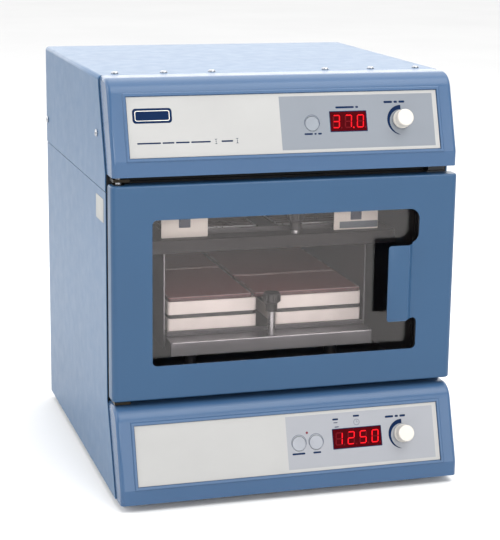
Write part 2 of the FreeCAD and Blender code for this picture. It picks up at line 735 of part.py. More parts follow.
def window_gasket():
    """Dark ring that spaces the pane off the back of the door face."""
    face = back(-sizes.door_forward + sizes.skin)
    piece = Piece("window_gasket")
    piece.slab("XZ", face, back(-sizes.pane_back), soft_rectangle(-156, up(122), 156, up(299), 6))
    piece.cut("XZ", face - 1, back(-sizes.pane_back) + 1,
              soft_rectangle(-148, up(129.5), 147, up(291.5), 8))


def hinge_axis():
    return -sizes.hinge_across, back(-sizes.hinge_forward)


def hinge_bushes():
    """Two flanged bushes pressed into the door's top and bottom flanges."""
    piece = Piece("hinge_bushes")
    across, depth = hinge_axis()
    gap = sizes.pin_radius + sizes.running_gap
    low, high = up(sizes.door_low), up(sizes.door_high)
    flange, barrel, long = sizes.bush_flange, sizes.bush_radius, sizes.bush_long
    for start, finish, radius in ((low - 0.8, low, flange), (low, low + long, barrel),
                                  (high, high + 0.8, flange), (high - long, high, barrel)):
        piece.slab("XY", start, finish, circle(across, depth, radius))
    piece.cut("XY", low - 2, low + 8, circle(across, depth, gap))
    piece.cut("XY", high - 8, high + 2, circle(across, depth, gap))


def hinge_pins():
    """Two fixed pivot pins, one up into the door and one down into it."""
    piece = Piece("hinge_pins")
    across, depth = hinge_axis()
    piece.slab("XY", up(sizes.fascia_height + 0.8), up(sizes.door_low + 6),
               circle(across, depth, sizes.pin_radius))
    piece.slab("XY", up(sizes.door_high - 6), up(sizes.upper_fascia_up - 0.6),
               circle(across, depth, sizes.pin_radius))


def hinge_brackets():
    """Two plated brackets that hold the pins off the chamber's front frame."""
    piece = Piece("hinge_brackets")
    across, depth = hinge_axis()
    foot, head = sizes.fascia_height + 0.8, sizes.upper_fascia_up - 2.2
    for low, high in ((foot, foot + sizes.bracket_thick), (head - sizes.bracket_thick, head)):
        piece.slab("XY", up(low), up(high),
                   rectangle(across - 6.5, depth - 6.5, across + 10, back(0.4)))
    for low, high in ((foot, sizes.door_low + 9), (sizes.door_high - 9, head)):
        piece.slab("XZ", back(-1.6), back(0.4),
                   rectangle(across + 3.5, up(low), across + 10, up(high)))
    piece.cut("XY", up(90), up(335), circle(across, depth, sizes.pin_radius))


def door_catch():
    """Magnet block above the door and the steel plate on the door that it holds."""
    magnet = Piece("catch_magnet")
    high = up(sizes.door_high)
    magnet.slab("XY", high + 1.2, up(sizes.upper_fascia_up - 1),
                rectangle(158, back(-11), 176, back(0.4)))
    striker = Piece("striker_plate")
    striker.slab("XY", high, high + 1, rectangle(156, back(-12), 175, back(-4)))


# ---------------------------------------------------------------- chamber

post_places = [(side * sizes.post_across, distance) for side in (-1, 1)
               for distance in (sizes.post_front, sizes.post_rear)]


def chamber_liner():
    """Bright steel box, open to the front, with clearance holes for the carrier's posts."""
    wide, skin = sizes.liner_half_width, sizes.liner_skin
    piece = Piece("chamber_liner")
    piece.slab("XZ", back(1.9), back(sizes.liner_back),
               rectangle(-wide, up(sizes.liner_low), wide, up(sizes.liner_high)))
    piece.cut("XZ", back(0), back(sizes.liner_back - skin),
              rectangle(skin - wide, up(sizes.liner_low + skin), wide - skin,
                        up(sizes.liner_high - skin)))
    piece.cut("XY", up(sizes.liner_low - 1), up(sizes.liner_low + 3),
              *[circle(across, back(distance), 10.5) for across, distance in post_places])
    piece.cut("XY", up(sizes.liner_high - 3), up(sizes.liner_high + 1), *fan_holes())


def fan_holes():
    """Three rings of air holes under the fan."""
    centre = back(sizes.fan_back)
    return [circle(ring * math.cos(step * math.tau / count),
                   centre + ring * math.sin(step * math.tau / count), 4)
            for ring, count in ((14, 7), (26, 13), (38, 20)) for step in range(count)]


def chamber_frame():
    """Front frame round the chamber's mouth, which ties the case sides together."""
    wide, skin = sizes.liner_half_width, sizes.liner_skin
    piece = Piece("chamber_frame")
    piece.slab("XZ", back(0.4), back(1.9), rectangle(0.3 - body_inner, up(95), body_inner - 0.3,
                                                     up(328)))
    piece.cut("XZ", back(-1), back(3),
              rectangle(skin - wide, up(sizes.liner_low + skin), wide - skin,
                        up(sizes.liner_high - skin)))


def insulation():
    """Foam jacket round the liner's sides, floor, roof and back."""
    wide = sizes.liner_half_width + 0.3
    piece = Piece("insulation")
    piece.slab("XZ", back(3), back(340), rectangle(-wide - sizes.foam_thick, up(97.5),
                                               wide + sizes.foam_thick, up(327)))
    piece.cut("XZ", back(2), back(sizes.liner_back + 0.3),
              rectangle(-wide, up(sizes.liner_low - 0.3), wide, up(sizes.liner_high + 0.3)))
    piece.cut("XY", up(90), up(110),
              *[circle(across, back(distance), 11.5) for across, distance in post_places])
    piece.cut("XY", up(310), up(335), circle(0, back(sizes.fan_back), 66))


def door_seal():
    """Soft rubber ring on the front frame that the door closes against."""
    piece = Piece("door_seal")
    front, rear = back(-sizes.door_rear_gap + 0.2), back(0.4)
    piece.slab("XZ", front, rear, soft_rectangle(-sizes.seal_half_width, up(99.5),
                                                  sizes.seal_half_width, up(322), 8))
    piece.cut("XZ", front - 1, rear + 1, soft_rectangle(-154, up(107), 154, up(315), 5))
    piece.rounded(0.8, lambda edge, middle: near(middle.y, front))


def fan_assembly():
    """Circulation fan over the roof: housing, heater ring, motor and impeller."""
    x, y, roof = 0, back(sizes.fan_back), up(sizes.liner_high)
    cover, top, hot = sizes.fan_cover_radius, roof + sizes.fan_cover_high, sizes.heater_radius
    housing = Piece("fan_housing")
    housing.slab("XY", roof, top, circle(x, y, cover))
    housing.cut("XY", roof - 1, top - 1.5, circle(x, y, cover - 1.5))
    housing.cut("XY", top - 3, top + 1, circle(x, y, 5))
    motor = Piece("fan_motor")
    motor.slab("XY", top, top + 36, circle(x, y, sizes.fan_motor_radius))
    motor.cut("XY", top - 1, top + 15, circle(x, y, 4))
    impeller = Piece("fan_impeller")
    impeller.slab("XY", roof + 4, top + 14, circle(x, y, 3.9))
    impeller.slab("XY", roof + 16, roof + 18, circle(x, y, sizes.fan_radius))
    impeller.slab("XY", roof + 4, roof + 16.5, *[blade(step, 11) for step in range(11)])
    heater = Piece("heater_element")
    heater.slab("XY", roof + 8, roof + 15, circle(x, y, hot))
    heater.cut("XY", roof + 7, roof + 16, circle(x, y, hot - 6))
    heater.slab("XY", roof + 12, top - 1.5,
                *[circle(x + side * (hot - 3), y, 1.5) for side in (-1, 1)])


def blade(step, count):
    """Plan outline of one radial fan blade."""
    turn = step * math.tau / count
    centre = back(sizes.fan_back)
    corners = ((12, -0.7), (43, -0.7), (43, 0.7), (12, 0.7))
    return polygon([(reach * math.cos(turn) - side * math.sin(turn),
                     centre + reach * math.sin(turn) + side * math.cos(turn))
                    for reach, side in corners])


def temperature_probe():
    """Slim probe that hangs from the chamber roof beside the carrier."""
    piece = Piece("temperature_probe")
    roof = up(sizes.liner_high - sizes.liner_skin)
    spot = (sizes.probe_across, back(sizes.probe_back))
    piece.slab("XY", roof - sizes.probe_long, roof - 3, circle(*spot, 2.5))
    piece.slab("XY", roof - 3, roof, circle(*spot, 6))
    piece.rounded(2.0, lambda edge, middle: near(middle.z, roof - sizes.probe_long))


# ---------------------------------------------------------------- drive

crank_x = -sizes.orbit_offset
crank_spot = (crank_x, back(sizes.crank_back))
idler_spots = {"idler_front": (crank_x - sizes.idler_across, back(sizes.idler_front)),
               "idler_rear": (crank_x - sizes.idler_across, back(sizes.idler_rear))}
motor_spot = (sizes.motor_across, back(sizes.motor_back))


def drive_base():
    """Folded steel bridge, bolted to the case floor, that carries the motor and the bearings."""
    top = up(sizes.bench_plate_up)
    piece = Piece("drive_base")
    piece.slab("XZ", back(36), back(306), polygon([
        (-130, up(1.3)), (-130, top), (168, top), (168, up(1.3)), (165, up(1.3)), (165, top - 3),
        (-127, top - 3), (-127, up(1.3))]))
    spots = [crank_spot] + list(idler_spots.values())
    piece.cut("XY", top - 5, top + 1, *[circle(x, y, 13) for x, y in spots],
              circle(motor_spot[0], motor_spot[1], 9))


def base_bearings():
    """Ball bearings in the bridge for the drive crank and the two idler cranks."""
    top = up(sizes.bench_plate_up)
    piece = Piece("base_bearings")
    spots = [crank_spot] + list(idler_spots.values())
    piece.slab("XY", top - 9, top + 1,
               *[circle(x, y, sizes.base_bearing_radius) for x, y in spots])
    piece.cut("XY", top - 10, top + 2,
              *[circle(x, y, sizes.shaft_radius + sizes.running_gap) for x, y in spots])


def crank(piece, spot, foot):
    """Shaft with a pin on top that stands off its centre by the orbit's radius."""
    x, y = spot
    top = up(sizes.drive_frame_up)
    piece.slab("XY", foot, top - 10, circle(x, y, sizes.shaft_radius))
    piece.slab("XY", top - 10, top + sizes.drive_frame_thick,
               circle(x + sizes.orbit_offset, y, sizes.crank_pin_radius))


def drive_train():
    """Pulley, crankshafts, counterweight, motor, motor pulley and the belt between them."""
    low = up(sizes.pulley_up)
    x, y = crank_spot
    pulley = Piece("drive_pulley")
    crank(pulley, crank_spot, up(6))
    belt_wheel(pulley, crank_spot, sizes.drive_pulley_radius)
    pulley.cut("XY", low - 2, low + 13,
               *[circle(x + 27 * math.cos(step * math.tau / 5),
                        y + 27 * math.sin(step * math.tau / 5), 9) for step in range(5)])
    for label, spot in idler_spots.items():
        crank(Piece(label), spot, up(18))
    top = up(sizes.bench_plate_up)
    counterweight(top)
    motor = Piece("drive_motor")
    motor.slab("XY", top, top + sizes.motor_high, circle(*motor_spot, sizes.motor_radius))
    motor.cut("XY", top - 1, top + 12, circle(*motor_spot, sizes.motor_shaft_radius + 0.1))
    motor_pulley = Piece("motor_pulley")
    belt_wheel(motor_pulley, motor_spot, sizes.motor_pulley_radius)
    motor_pulley.slab("XY", low, top + 11, circle(*motor_spot, sizes.motor_shaft_radius))
    drive_belt(low)


def belt_wheel(piece, spot, radius):
    """Flat belt pulley with a rim under it."""
    low = up(sizes.pulley_up)
    piece.slab("XY", low, low + sizes.pulley_high, circle(*spot, radius))
    piece.slab("XY", low - sizes.pulley_rim_thick, low, circle(*spot, radius + sizes.pulley_rim))


def counterweight(top):
    """Heavy half disc opposite the crank pin, clamped on the drive shaft."""
    x, y = crank_spot
    piece = Piece("counterweight")
    piece.slab("XY", top + 3, top + 11, circle(x, y, sizes.weight_radius))
    piece.cut("XY", top + 2, top + 12,
              rectangle(x - 1, y - 40, x + 40, y - 11), rectangle(x - 1, y + 11, x + 40, y + 40),
              rectangle(x + 12, y - 10, x + 40, y + 10))
    piece.cut("XY", top + 2, top + 12, circle(x, y, sizes.shaft_radius + 0.01))


def drive_belt(low):
    """Flat belt: the band between two outlines that wrap both pulleys."""
    piece = Piece("drive_belt")
    piece.slab("XY", low + 2, low + 10, belt_outline(sizes.belt_thick + 0.15))
    piece.cut("XY", low + 1, low + 11, belt_outline(Size(0.15)))


def belt_outline(grow):
    """Two straight runs tangent to arcs round the drive and motor pulleys."""
    def draw(drawing):
        spots = (crank_spot, motor_spot)
        centres = [FreeCAD.Vector(x.number, y.number, 0) for x, y in spots]
        radii = [sizes.drive_pulley_radius + grow, sizes.motor_pulley_radius + grow]
        span = centres[1] - centres[0]
        heading = math.atan2(span.y, span.x)
        spread = math.acos((radii[0].number - radii[1].number) / span.Length)
        touch = [[centre + FreeCAD.Vector(math.cos(heading + side * spread),
                                          math.sin(heading + side * spread), 0) * radius.number
                  for side in (1, -1)] for centre, radius in zip(centres, radii)]
        drawing.lines += [
            Part.LineSegment(touch[1][0], touch[0][0]),
            arc_between(centres[0], radii[0].number, heading + spread,
                        heading + math.tau - spread),
            Part.LineSegment(touch[0][1], touch[1][1]),
            arc_between(centres[1], radii[1].number, heading - spread, heading + spread)]
        for index in range(4):
            drawing.tie("Tangent", index, 2, (index + 1) % 4, 1)
        for arc, (x, y), radius in zip((1, 3), spots, radii):
            drawing.pin(arc, 3, x, y)
            drawing.measure(radius, "Radius", arc)
    return draw


# ---------------------------------------------------------------- carrier

def drive_frame():
    """Moving plate under the chamber, with four posts up through its floor."""
    low = up(sizes.drive_frame_up)
    piece = Piece("drive_frame")
    piece.slab("XY", low, low + sizes.drive_frame_thick, rectangle(-94, back(48), 92, back(314)))
    spots = carrier_bearing_spots()
    piece.cut("XY", low - 1, low + 10, *[circle(x, y, 11) for x, y in spots])
    piece.slab("XY", low + sizes.drive_frame_thick, up(sizes.lower_deck_up - sizes.deck_skin),
               *[circle(across, back(distance), sizes.post_radius)
                 for across, distance in post_places])


def carrier_bearing_spots():
    return [(x + sizes.orbit_offset, y) for x, y in [crank_spot] + list(idler_spots.values())]


def carrier_bearings():
    """Ball bearings in the moving plate that the three crank pins turn in."""
    low = up(sizes.drive_frame_up)
    piece = Piece("carrier_bearings")
    spots = carrier_bearing_spots()
    piece.slab("XY", low, low + sizes.drive_frame_thick,
               *[circle(x, y, sizes.carrier_bearing_radius) for x, y in spots])
    bore = sizes.crank_pin_radius + sizes.running_gap
    piece.cut("XY", low - 1, low + 10, *[circle(x, y, bore) for x, y in spots])


def deck(label, wide, height, flange):
    """Folded shelf with a rolled front edge and a flange down the front."""
    piece = Piece(label)
    skin = sizes.deck_skin
    front, top = back(sizes.deck_front), up(height)
    piece.slab("YZ", -wide, wide, polygon([
        (front, top), (front, top - flange), (front + skin, top - flange),
        (front + skin, top - skin), (back(sizes.deck_back), top - skin),
        (back(sizes.deck_back), top)]))
    piece.rounded(1.4, lambda edge, middle: runs_along(edge, "X") and near(middle.y, front)
                  and near(middle.z, top))


def rack_sides():
    """Two upright side plates that join the decks."""
    piece = Piece("rack_sides")
    outline = rectangle(back(sizes.rack_front), up(sizes.lower_deck_up - sizes.lower_flange),
                        back(sizes.deck_back), up(sizes.upper_deck_up - sizes.deck_skin))
    wide = sizes.lower_half_width
    for left, right in both_sides(wide, wide + sizes.rack_skin):
        piece.slab("YZ", left, right, outline)


def plate_spots():
    """Left-front corners of the four plate places on the lower deck."""
    lefts = (-sizes.plate_inner - sizes.plate_wide, sizes.plate_inner)
    rows = (sizes.plate_front, sizes.plate_front + sizes.plate_deep + sizes.plate_row_gap)
    return [(left, back(row)) for left in lefts for row in rows]


def plate_nests():
    """Low frames on both decks with a shallow seat for each plate."""
    piece = Piece("plate_nests")
    play = sizes.nest_play
    seats = [rectangle(x - play, y - play, x + sizes.plate_wide + play,
                       y + sizes.plate_deep + play) for x, y in plate_spots()]
    for height in (sizes.lower_deck_up, sizes.upper_deck_up):
        piece.slab("XY", up(height), up(height + sizes.nest_height),
                   rectangle(-sizes.nest_half_width, back(sizes.nest_front),
                             sizes.nest_half_width, back(sizes.nest_back)))
    for height in (sizes.lower_deck_up, sizes.upper_deck_up):
        piece.cut("XY", up(height + sizes.nest_floor), up(height + sizes.nest_height + 1), *seats)


def microplates():
    """Two skirted plates stacked in every place of the lower deck, with dark lids and covers."""
    plates = Piece("microplates")
    lids = Piece("plate_lids")
    first = sizes.lower_deck_up + sizes.nest_floor
    for floor in (first, first + sizes.plate_pitch):
        for x, y in plate_spots():
            plates.slab("XY", up(floor), up(floor + sizes.plate_tall), soft_rectangle(
                x, y, x + sizes.plate_wide, y + sizes.plate_deep, sizes.plate_bend))
    inset = sizes.nest_play
    lid_areas = [(x + inset, y + inset, x + sizes.plate_wide - inset,
                  y + sizes.plate_deep - inset) for x, y in plate_spots()]
    for floor, areas in ((first, lid_areas), (first + sizes.plate_pitch, cover_areas())):
        low = up(floor + sizes.plate_tall)
        for area in areas:
            lids.slab("XY", low, low + sizes.lid_tall, soft_rectangle(*area, sizes.plate_bend))


def cover_areas():
    """Left, front, right and rear of the upper covers, which meet left of the deck's middle."""
    inset, half_gap = sizes.nest_play, sizes.cover_gap / 2
    outer = sizes.plate_inner + sizes.plate_wide - inset
    front = back(sizes.plate_front + inset)
    rear = back(sizes.plate_front + 2 * sizes.plate_deep + sizes.plate_row_gap - inset)
    left_seam = back(sizes.plate_front + sizes.plate_deep)
    right_seam = back(sizes.right_cover_rear)
    areas = []
    for left, right, seam in ((-outer, -sizes.cover_joint - half_gap, left_seam),
                              (half_gap - sizes.cover_joint, outer, right_seam)):
        areas += [(left, front, right, seam), (left, seam + sizes.cover_gap, right, rear)]
    return areas


def hold_downs():
    """Screwed posts at the front of both decks and the fluted knobs that turn on them."""
    posts = Piece("hold_down_posts")
    depth = back(sizes.hold_front)
    holds = (("lower", Size(0), sizes.lower_deck_up, sizes.lower_hold_rise),
             ("upper", sizes.upper_hold_across, sizes.upper_deck_up, sizes.upper_hold_rise))
    for name, across, height, rise in holds:
        posts.slab("XY", up(height), up(height + rise + 14.5),
                   circle(across, depth, sizes.hold_post_radius))
    for name, across, height, rise in holds:
        hold_knob(f"{name}_hold_knob").place(across, depth, up(height + rise))


def hold_knob(label):
    """Knob with a narrow collar and a wider head with eight flutes; it turns on its post."""
    wide, bore = sizes.hold_knob_radius, sizes.hold_post_radius + 0.08
    piece = Piece(label)
    piece.turned([(bore, 0), (6.2, 0), (6.2, 8), (wide, 11), (wide, 17.5), (wide - 1.6, 20),
                  (0, 20), (0, 15), (bore, 15)])
    flute = (wide + 1).number
    piece.cut("XY", 8.5, 21, *[circle(flute * math.cos(step * math.tau / 8),
                                      flute * math.sin(step * math.tau / 8), 2)
                               for step in range(8)])
    return piece


# ---------------------------------------------------------------- electrics

def electrics():
    """Power supply inside the back plate and the mains inlet through it."""
    rear = back(sizes.case_depth - 1.2)
    supply = Piece("power_supply")
    supply.slab("XZ", rear - 80, rear, rectangle(-158, up(338), -80, up(400)))
    across, height = INLET
    inlet = Piece("mains_inlet")
    outside = back(sizes.case_depth)
    inlet.slab("XZ", outside - 22, outside, rectangle(across - 13.8, up(height - 10.3),
                                                      across + 13.8, up(height + 10.3)))
    inlet.slab("XZ", outside, outside + 2, soft_rectangle(across - 25, up(height - 13),
                                                          across + 25, up(height + 13), 4))
    inlet.cut("XZ", outside - 15, outside + 3, soft_rectangle(
        across - 12.2, up(height - 8.3), across + 12.2, up(height + 8.3), 2))
    inlet.slab("XZ", outside - 16, outside - 2, *[
        rectangle(across + shift - 1, up(height + rise - 2), across + shift + 1,
                  up(height + rise + 2)) for shift, rise in ((-7, -1.5), (0, 2.5), (7, -1.5))])


def build():
    lower_body()
    top_cover()
    rear_panel()
    case_screws()
    feet()
    upper_buttons = (sizes.set_button_across,)
    lower_buttons = (sizes.start_button_across, sizes.mode_button_across)
    for fascia, right, buttons in ((upper, sizes.upper_display_right, upper_buttons),
                                   (lower, sizes.lower_display_right, lower_buttons)):
        fascia_shell(fascia, right, buttons)
        overlay(fascia, right, buttons)
        display(fascia, right)
        control_shaft(fascia)
        knob(fascia)
    control_boards()
    rotary_controls()
    button("set_button", upper, sizes.set_button_across)
    button("start_button", lower, sizes.start_button_across)
    button("mode_button", lower, sizes.mode_button_across)
    door_skin()
    door_liner()
    window_pane()
    window_gasket()
    hinge_bushes()
    hinge_pins()
    hinge_brackets()
    door_catch()
    chamber_liner()
    chamber_frame()
    insulation()
    door_seal()
    fan_assembly()
    temperature_probe()
    drive_base()
    base_bearings()
    drive_train()
    drive_frame()
    carrier_bearings()
    deck("lower_deck", sizes.lower_half_width, sizes.lower_deck_up, sizes.lower_flange)
    deck("upper_deck", sizes.upper_half_width, sizes.upper_deck_up, sizes.upper_flange)
    rack_sides()
    plate_nests()
    microplates()
    hold_downs()
    electrics()


def check_document():
    """Stops if any object failed or any sub-part has no sound shape."""
    faults = [item.Name for item in document.Objects
              if "Invalid" in item.State or "Error" in item.State]
    for piece in NODES:
        shape = piece.body.Shape
        if shape.isNull() or not shape.isValid() or not shape.Solids:
            faults.append(piece.label)
    if faults:
        raise RuntimeError("unsound: " + ", ".join(faults))


def export():
    os.makedirs("parts", exist_ok=True)
    for piece in NODES:
        piece.body.Shape.exportStep(f"parts/{piece.label}.step")
    print(len(NODES), "sub-parts written")


build()
document.recompute()
check_document()
export()
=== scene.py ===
"""Looks for the microplate shaker incubator: materials, printed marks, digits, light, camera."""

import math

import bmesh
import bpy
from mathutils import Matrix, Vector


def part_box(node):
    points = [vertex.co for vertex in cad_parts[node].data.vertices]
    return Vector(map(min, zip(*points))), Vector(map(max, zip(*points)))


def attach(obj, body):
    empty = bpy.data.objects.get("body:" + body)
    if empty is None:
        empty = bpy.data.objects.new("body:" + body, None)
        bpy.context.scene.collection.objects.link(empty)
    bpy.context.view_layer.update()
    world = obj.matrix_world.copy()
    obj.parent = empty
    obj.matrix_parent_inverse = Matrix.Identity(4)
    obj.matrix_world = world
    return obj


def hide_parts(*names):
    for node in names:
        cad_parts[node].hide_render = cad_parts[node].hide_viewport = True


MM = 0.001
SHARP = 0.0002      # width of a painted colour edge, in metres
INK = 0.05          # lift of printed ink, in millimetres

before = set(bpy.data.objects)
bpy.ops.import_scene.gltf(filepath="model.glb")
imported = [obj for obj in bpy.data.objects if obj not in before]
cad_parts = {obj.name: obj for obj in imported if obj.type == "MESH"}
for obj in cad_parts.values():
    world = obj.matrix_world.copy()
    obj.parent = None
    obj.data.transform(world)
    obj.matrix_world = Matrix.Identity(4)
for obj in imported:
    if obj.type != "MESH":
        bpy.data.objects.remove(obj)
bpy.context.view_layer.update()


# ---------------------------------------------------------------- material building

class Look:
    """A procedural material round one Principled shader."""

    def __init__(self, name):
        self.material = bpy.data.materials.new(name)
        self.material.use_nodes = True
        self.tree = self.material.node_tree
        self.shader = self.tree.nodes["Principled BSDF"]
        coordinates = self.add("ShaderNodeTexCoord")
        self.place = coordinates.outputs["Object"]

    def add(self, kind, **settings):
        """Adds a shader node."""
        node = self.tree.nodes.new(kind)
        for key, value in settings.items():
            setattr(node, key, value)
        return node

    def link(self, source, target):
        """Joins an output to an input."""
        self.tree.links.new(source, target)

    def fixed(self, **values):
        """Sets plain numbers on the shader, named as its inputs with underscores."""
        for name, value in values.items():
            self.shader.inputs[name.replace("_", " ")].default_value = value
        return self

    def stretched(self, scale):
        """Object coordinates, scaled apart along X, Y and Z."""
        mapping = self.add("ShaderNodeMapping")
        mapping.inputs["Scale"].default_value = scale
        self.link(self.place, mapping.inputs["Vector"])
        return mapping.outputs["Vector"]

    def noise(self, scale, detail=3.0, stretch=(1, 1, 1), roughness=0.55):
        """A noise factor over object coordinates."""
        node = self.add("ShaderNodeTexNoise")
        node.inputs["Scale"].default_value = scale
        node.inputs["Detail"].default_value = detail
        node.inputs["Roughness"].default_value = roughness
        self.link(self.stretched(stretch), node.inputs["Vector"])
        return node.outputs["Fac"]

    def levels(self, value, low, high, start=0.3, finish=0.7):
        """Maps a value from start..finish to low..high, held at both ends."""
        node = self.add("ShaderNodeMapRange")
        for name, number in (("From Min", start), ("From Max", finish),
                             ("To Min", low), ("To Max", high)):
            node.inputs[name].default_value = number
        self.link(value, node.inputs["Value"])
        return node.outputs["Result"]

    def blend(self, factor, first, second):
        """Mixes two colours, each a tuple or an output."""
        node = self.add("ShaderNodeMix", data_type="RGBA")
        for socket, colour in ((node.inputs["A"], first), (node.inputs["B"], second)):
            if hasattr(colour, "is_linked"):
                self.link(colour, socket)
            else:
                socket.default_value = (*colour, 1.0)
        self.link(factor, node.inputs["Factor"])
        return node.outputs["Result"]

    def colour(self, output):
        """Feeds the base colour."""
        self.link(output, self.shader.inputs["Base Color"])
        return self

    def roughness(self, value, low, high):
        """Feeds the roughness, mapped to low..high."""
        self.link(self.levels(value, low, high), self.shader.inputs["Roughness"])
        return self

    def bump(self, height, distance, strength=1.0):
        """Feeds the normal with a bump."""
        node = self.add("ShaderNodeBump")
        node.inputs["Distance"].default_value = distance
        node.inputs["Strength"].default_value = strength
        self.link(height, node.inputs["Height"])
        self.link(node.outputs["Normal"], self.shader.inputs["Normal"])
        return self


def shade(colour, factor):
    """A colour made darker or lighter by a factor."""
    return tuple(min(1.0, channel * factor) for channel in colour)


def enamel(name, colour, rough, grain=900.0, depth=0.00004):
    """Sprayed enamel: orange-peel bump, faint mottling and uneven gloss."""
    look = Look(name)
    mottled = look.noise(11.0, 5.0)
    look.colour(look.blend(look.levels(mottled, 0, 1), shade(colour, 0.975), shade(colour, 1.025)))
    look.roughness(look.noise(60.0, 5.0), rough - 0.02, rough + 0.03)
    look.bump(look.noise(grain, 2.0), depth, 0.6)
    return look.fixed(Specular_IOR_Level=0.35).material


def plastic(name, colour, rough, grain=1400.0, depth=0.00002, specular=0.5):
    """Moulded plastic with a fine spark-eroded grain."""
    look = Look(name)
    look.colour(look.blend(look.levels(look.noise(40.0), 0, 1), shade(colour, 0.94),
                           shade(colour, 1.04)))
    look.roughness(look.noise(60.0, 4.0), rough - 0.05, rough + 0.07)
    look.bump(look.noise(grain, 2.0), depth, 0.5)
    return look.fixed(Specular_IOR_Level=specular).material


# Millimetres below the highest cover: everything on the top covers, and their top faces.
TOP_COVER_REACH, TOP_COVER_FACE = 9.0, 0.6


def smoked_covers(name, face, rim, lower):
    """Maroon tops, with painted shade: darker rims on the covers' sides and dark grey on the
    covers between the plates.
    """
    look = Look(name)
    split = look.add("ShaderNodeSeparateXYZ")
    look.link(look.place, split.inputs["Vector"])
    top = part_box("plate_lids")[1][2]
    edges = (top - drop * MM for drop in (TOP_COVER_REACH, TOP_COVER_FACE))
    above, on_face = (look.levels(split.outputs["Z"], 0, 1, edge, edge + SHARP) for edge in edges)
    # painted shade: the rim colour on the sides of the top covers, the lower colour on the covers
    # between the plates
    look.colour(look.blend(on_face, look.blend(above, lower, rim), face))
    look.roughness(look.noise(900.0, 2.0), 0.26, 0.34)
    look.bump(look.noise(900.0, 2.0), 0.000002)
    return look.material


def brushed(name, colour, rough, along="X", depth=0.0000004):
    """Metal sheet with fine parallel brush lines and faint stains."""
    look = Look(name)
    stretch = {"X": (12, 900, 900), "Y": (900, 12, 900), "Z": (900, 900, 12)}[along]
    lines = look.noise(1.0, 4.0, stretch)
    stains = look.noise(18.0, 4.0)
    tone = look.blend(look.levels(lines, 0, 1), shade(colour, 0.93), shade(colour, 1.05))
    look.colour(look.blend(look.levels(stains, 0, 0.25), tone, shade(colour, 0.7)))
    look.roughness(lines, rough - 0.04, rough + 0.06)
    look.bump(lines, depth, 0.3)
    return look.fixed(Metallic=1.0).material


def plated(name, colour, rough):
    """Zinc-plated metal with a faint crystalline mottling."""
    look = Look(name)
    look.colour(look.blend(look.levels(look.noise(220.0, 4.0), 0, 1), shade(colour, 0.8),
                           shade(colour, 1.12)))
    look.roughness(look.noise(150.0, 3.0), rough - 0.08, rough + 0.12)
    look.bump(look.noise(700.0, 2.0), 0.00002, 0.5)
    return look.fixed(Metallic=1.0).material


def rubber(name, colour, rough=0.8):
    """Dull rubber with a fine grain."""
    look = Look(name)
    look.colour(look.blend(look.levels(look.noise(90.0, 5.0), 0, 1), shade(colour, 0.8),
                           shade(colour, 1.3)))
    look.roughness(look.noise(120.0), rough - 0.1, rough + 0.1)
    look.bump(look.noise(1100.0, 3.0), 0.00004, 0.6)
    return look.fixed(Specular_IOR_Level=0.3).material


def foam(name, colour):
    """Open-celled foam."""
    look = Look(name)
    cells = look.add("ShaderNodeTexVoronoi")
    cells.inputs["Scale"].default_value = 600.0
    look.link(look.place, cells.inputs["Vector"])
    look.colour(look.blend(cells.outputs["Distance"], shade(colour, 1.1), shade(colour, 0.7)))
    look.bump(cells.outputs["Distance"], 0.0003, 0.8)
    return look.fixed(Roughness=0.95).material


def printed_film(name, node, zone_colour, left, low_gap, high_gap, right_gap):
    """Cream film whose right part carries a blue-grey field with a thin cream margin."""
    cream = (0.318, 0.316, 0.310)
    low, high = (Vector(corner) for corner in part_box(node))
    look = Look(name)
    split = look.add("ShaderNodeSeparateXYZ")
    look.link(look.place, split.inputs["Vector"])
    masks = [
        look.levels(split.outputs[axis], before, after, edge, edge + SHARP)
        for axis, before, after, edge in (
            ("X", 0, 1, left * MM), ("X", 1, 0, high.x - right_gap * MM),
            ("Z", 0, 1, low.z + low_gap * MM), ("Z", 1, 0, high.z - high_gap * MM))]
    field = masks[0]
    for mask in masks[1:]:
        product = look.add("ShaderNodeMath", operation="MULTIPLY")
        look.link(field, product.inputs[0])
        look.link(mask, product.inputs[1])
        field = product.outputs[0]
    look_tone = look.blend(look.levels(look.noise(14.0, 4.0), 0, 1), shade(cream, 0.97),
                           shade(cream, 1.03))
    look.colour(look.blend(field, look_tone, zone_colour))
    look.roughness(look.noise(50.0, 4.0), 0.38, 0.50)
    look.bump(look.noise(1800.0, 2.0), 0.000012, 0.5)
    return look.fixed(Specular_IOR_Level=0.4).material


def glow(name, colour, strength, base):
    """A lit display bar behind a red filter."""
    look = Look(name)
    look.colour(look.blend(look.levels(look.noise(300.0), 0, 1), shade(base, 0.85), base))
    look.fixed(Roughness=0.4, Specular_IOR_Level=0.05, Emission_Strength=strength)
    look.shader.inputs["Emission Color"].default_value = (*colour, 1.0)
    return look.material


def tinted_pane(name):
    """Smoke-tinted acrylic: a clear tint under a thin, slightly smeared mirror."""
    look = Look(name)
    tint = look.blend(look.levels(look.noise(6.0), 0, 1), (0.95, 0.925, 0.92),
                      (0.975, 0.95, 0.945))
    clear = look.add("ShaderNodeBsdfTransparent")
    look.link(tint, clear.inputs["Color"])
    mirror = look.add("ShaderNodeBsdfGlossy")
    look.link(look.levels(look.noise(22.0, 5.0), 0.0, 0.05), mirror.inputs["Roughness"])
    mirror.inputs["Color"].default_value = (1.0, 0.98, 0.97, 1.0)
    edge = look.add("ShaderNodeFresnel")
    edge.inputs["IOR"].default_value = 1.36
    mixed = look.add("ShaderNodeMixShader")
    look.link(edge.outputs["Fac"], mixed.inputs["Fac"])
    look.link(clear.outputs["BSDF"], mixed.inputs[1])
    look.link(mirror.outputs["BSDF"], mixed.inputs[2])
    look.link(mixed.outputs["Shader"], look.tree.nodes["Material Output"].inputs["Surface"])
    return look.material


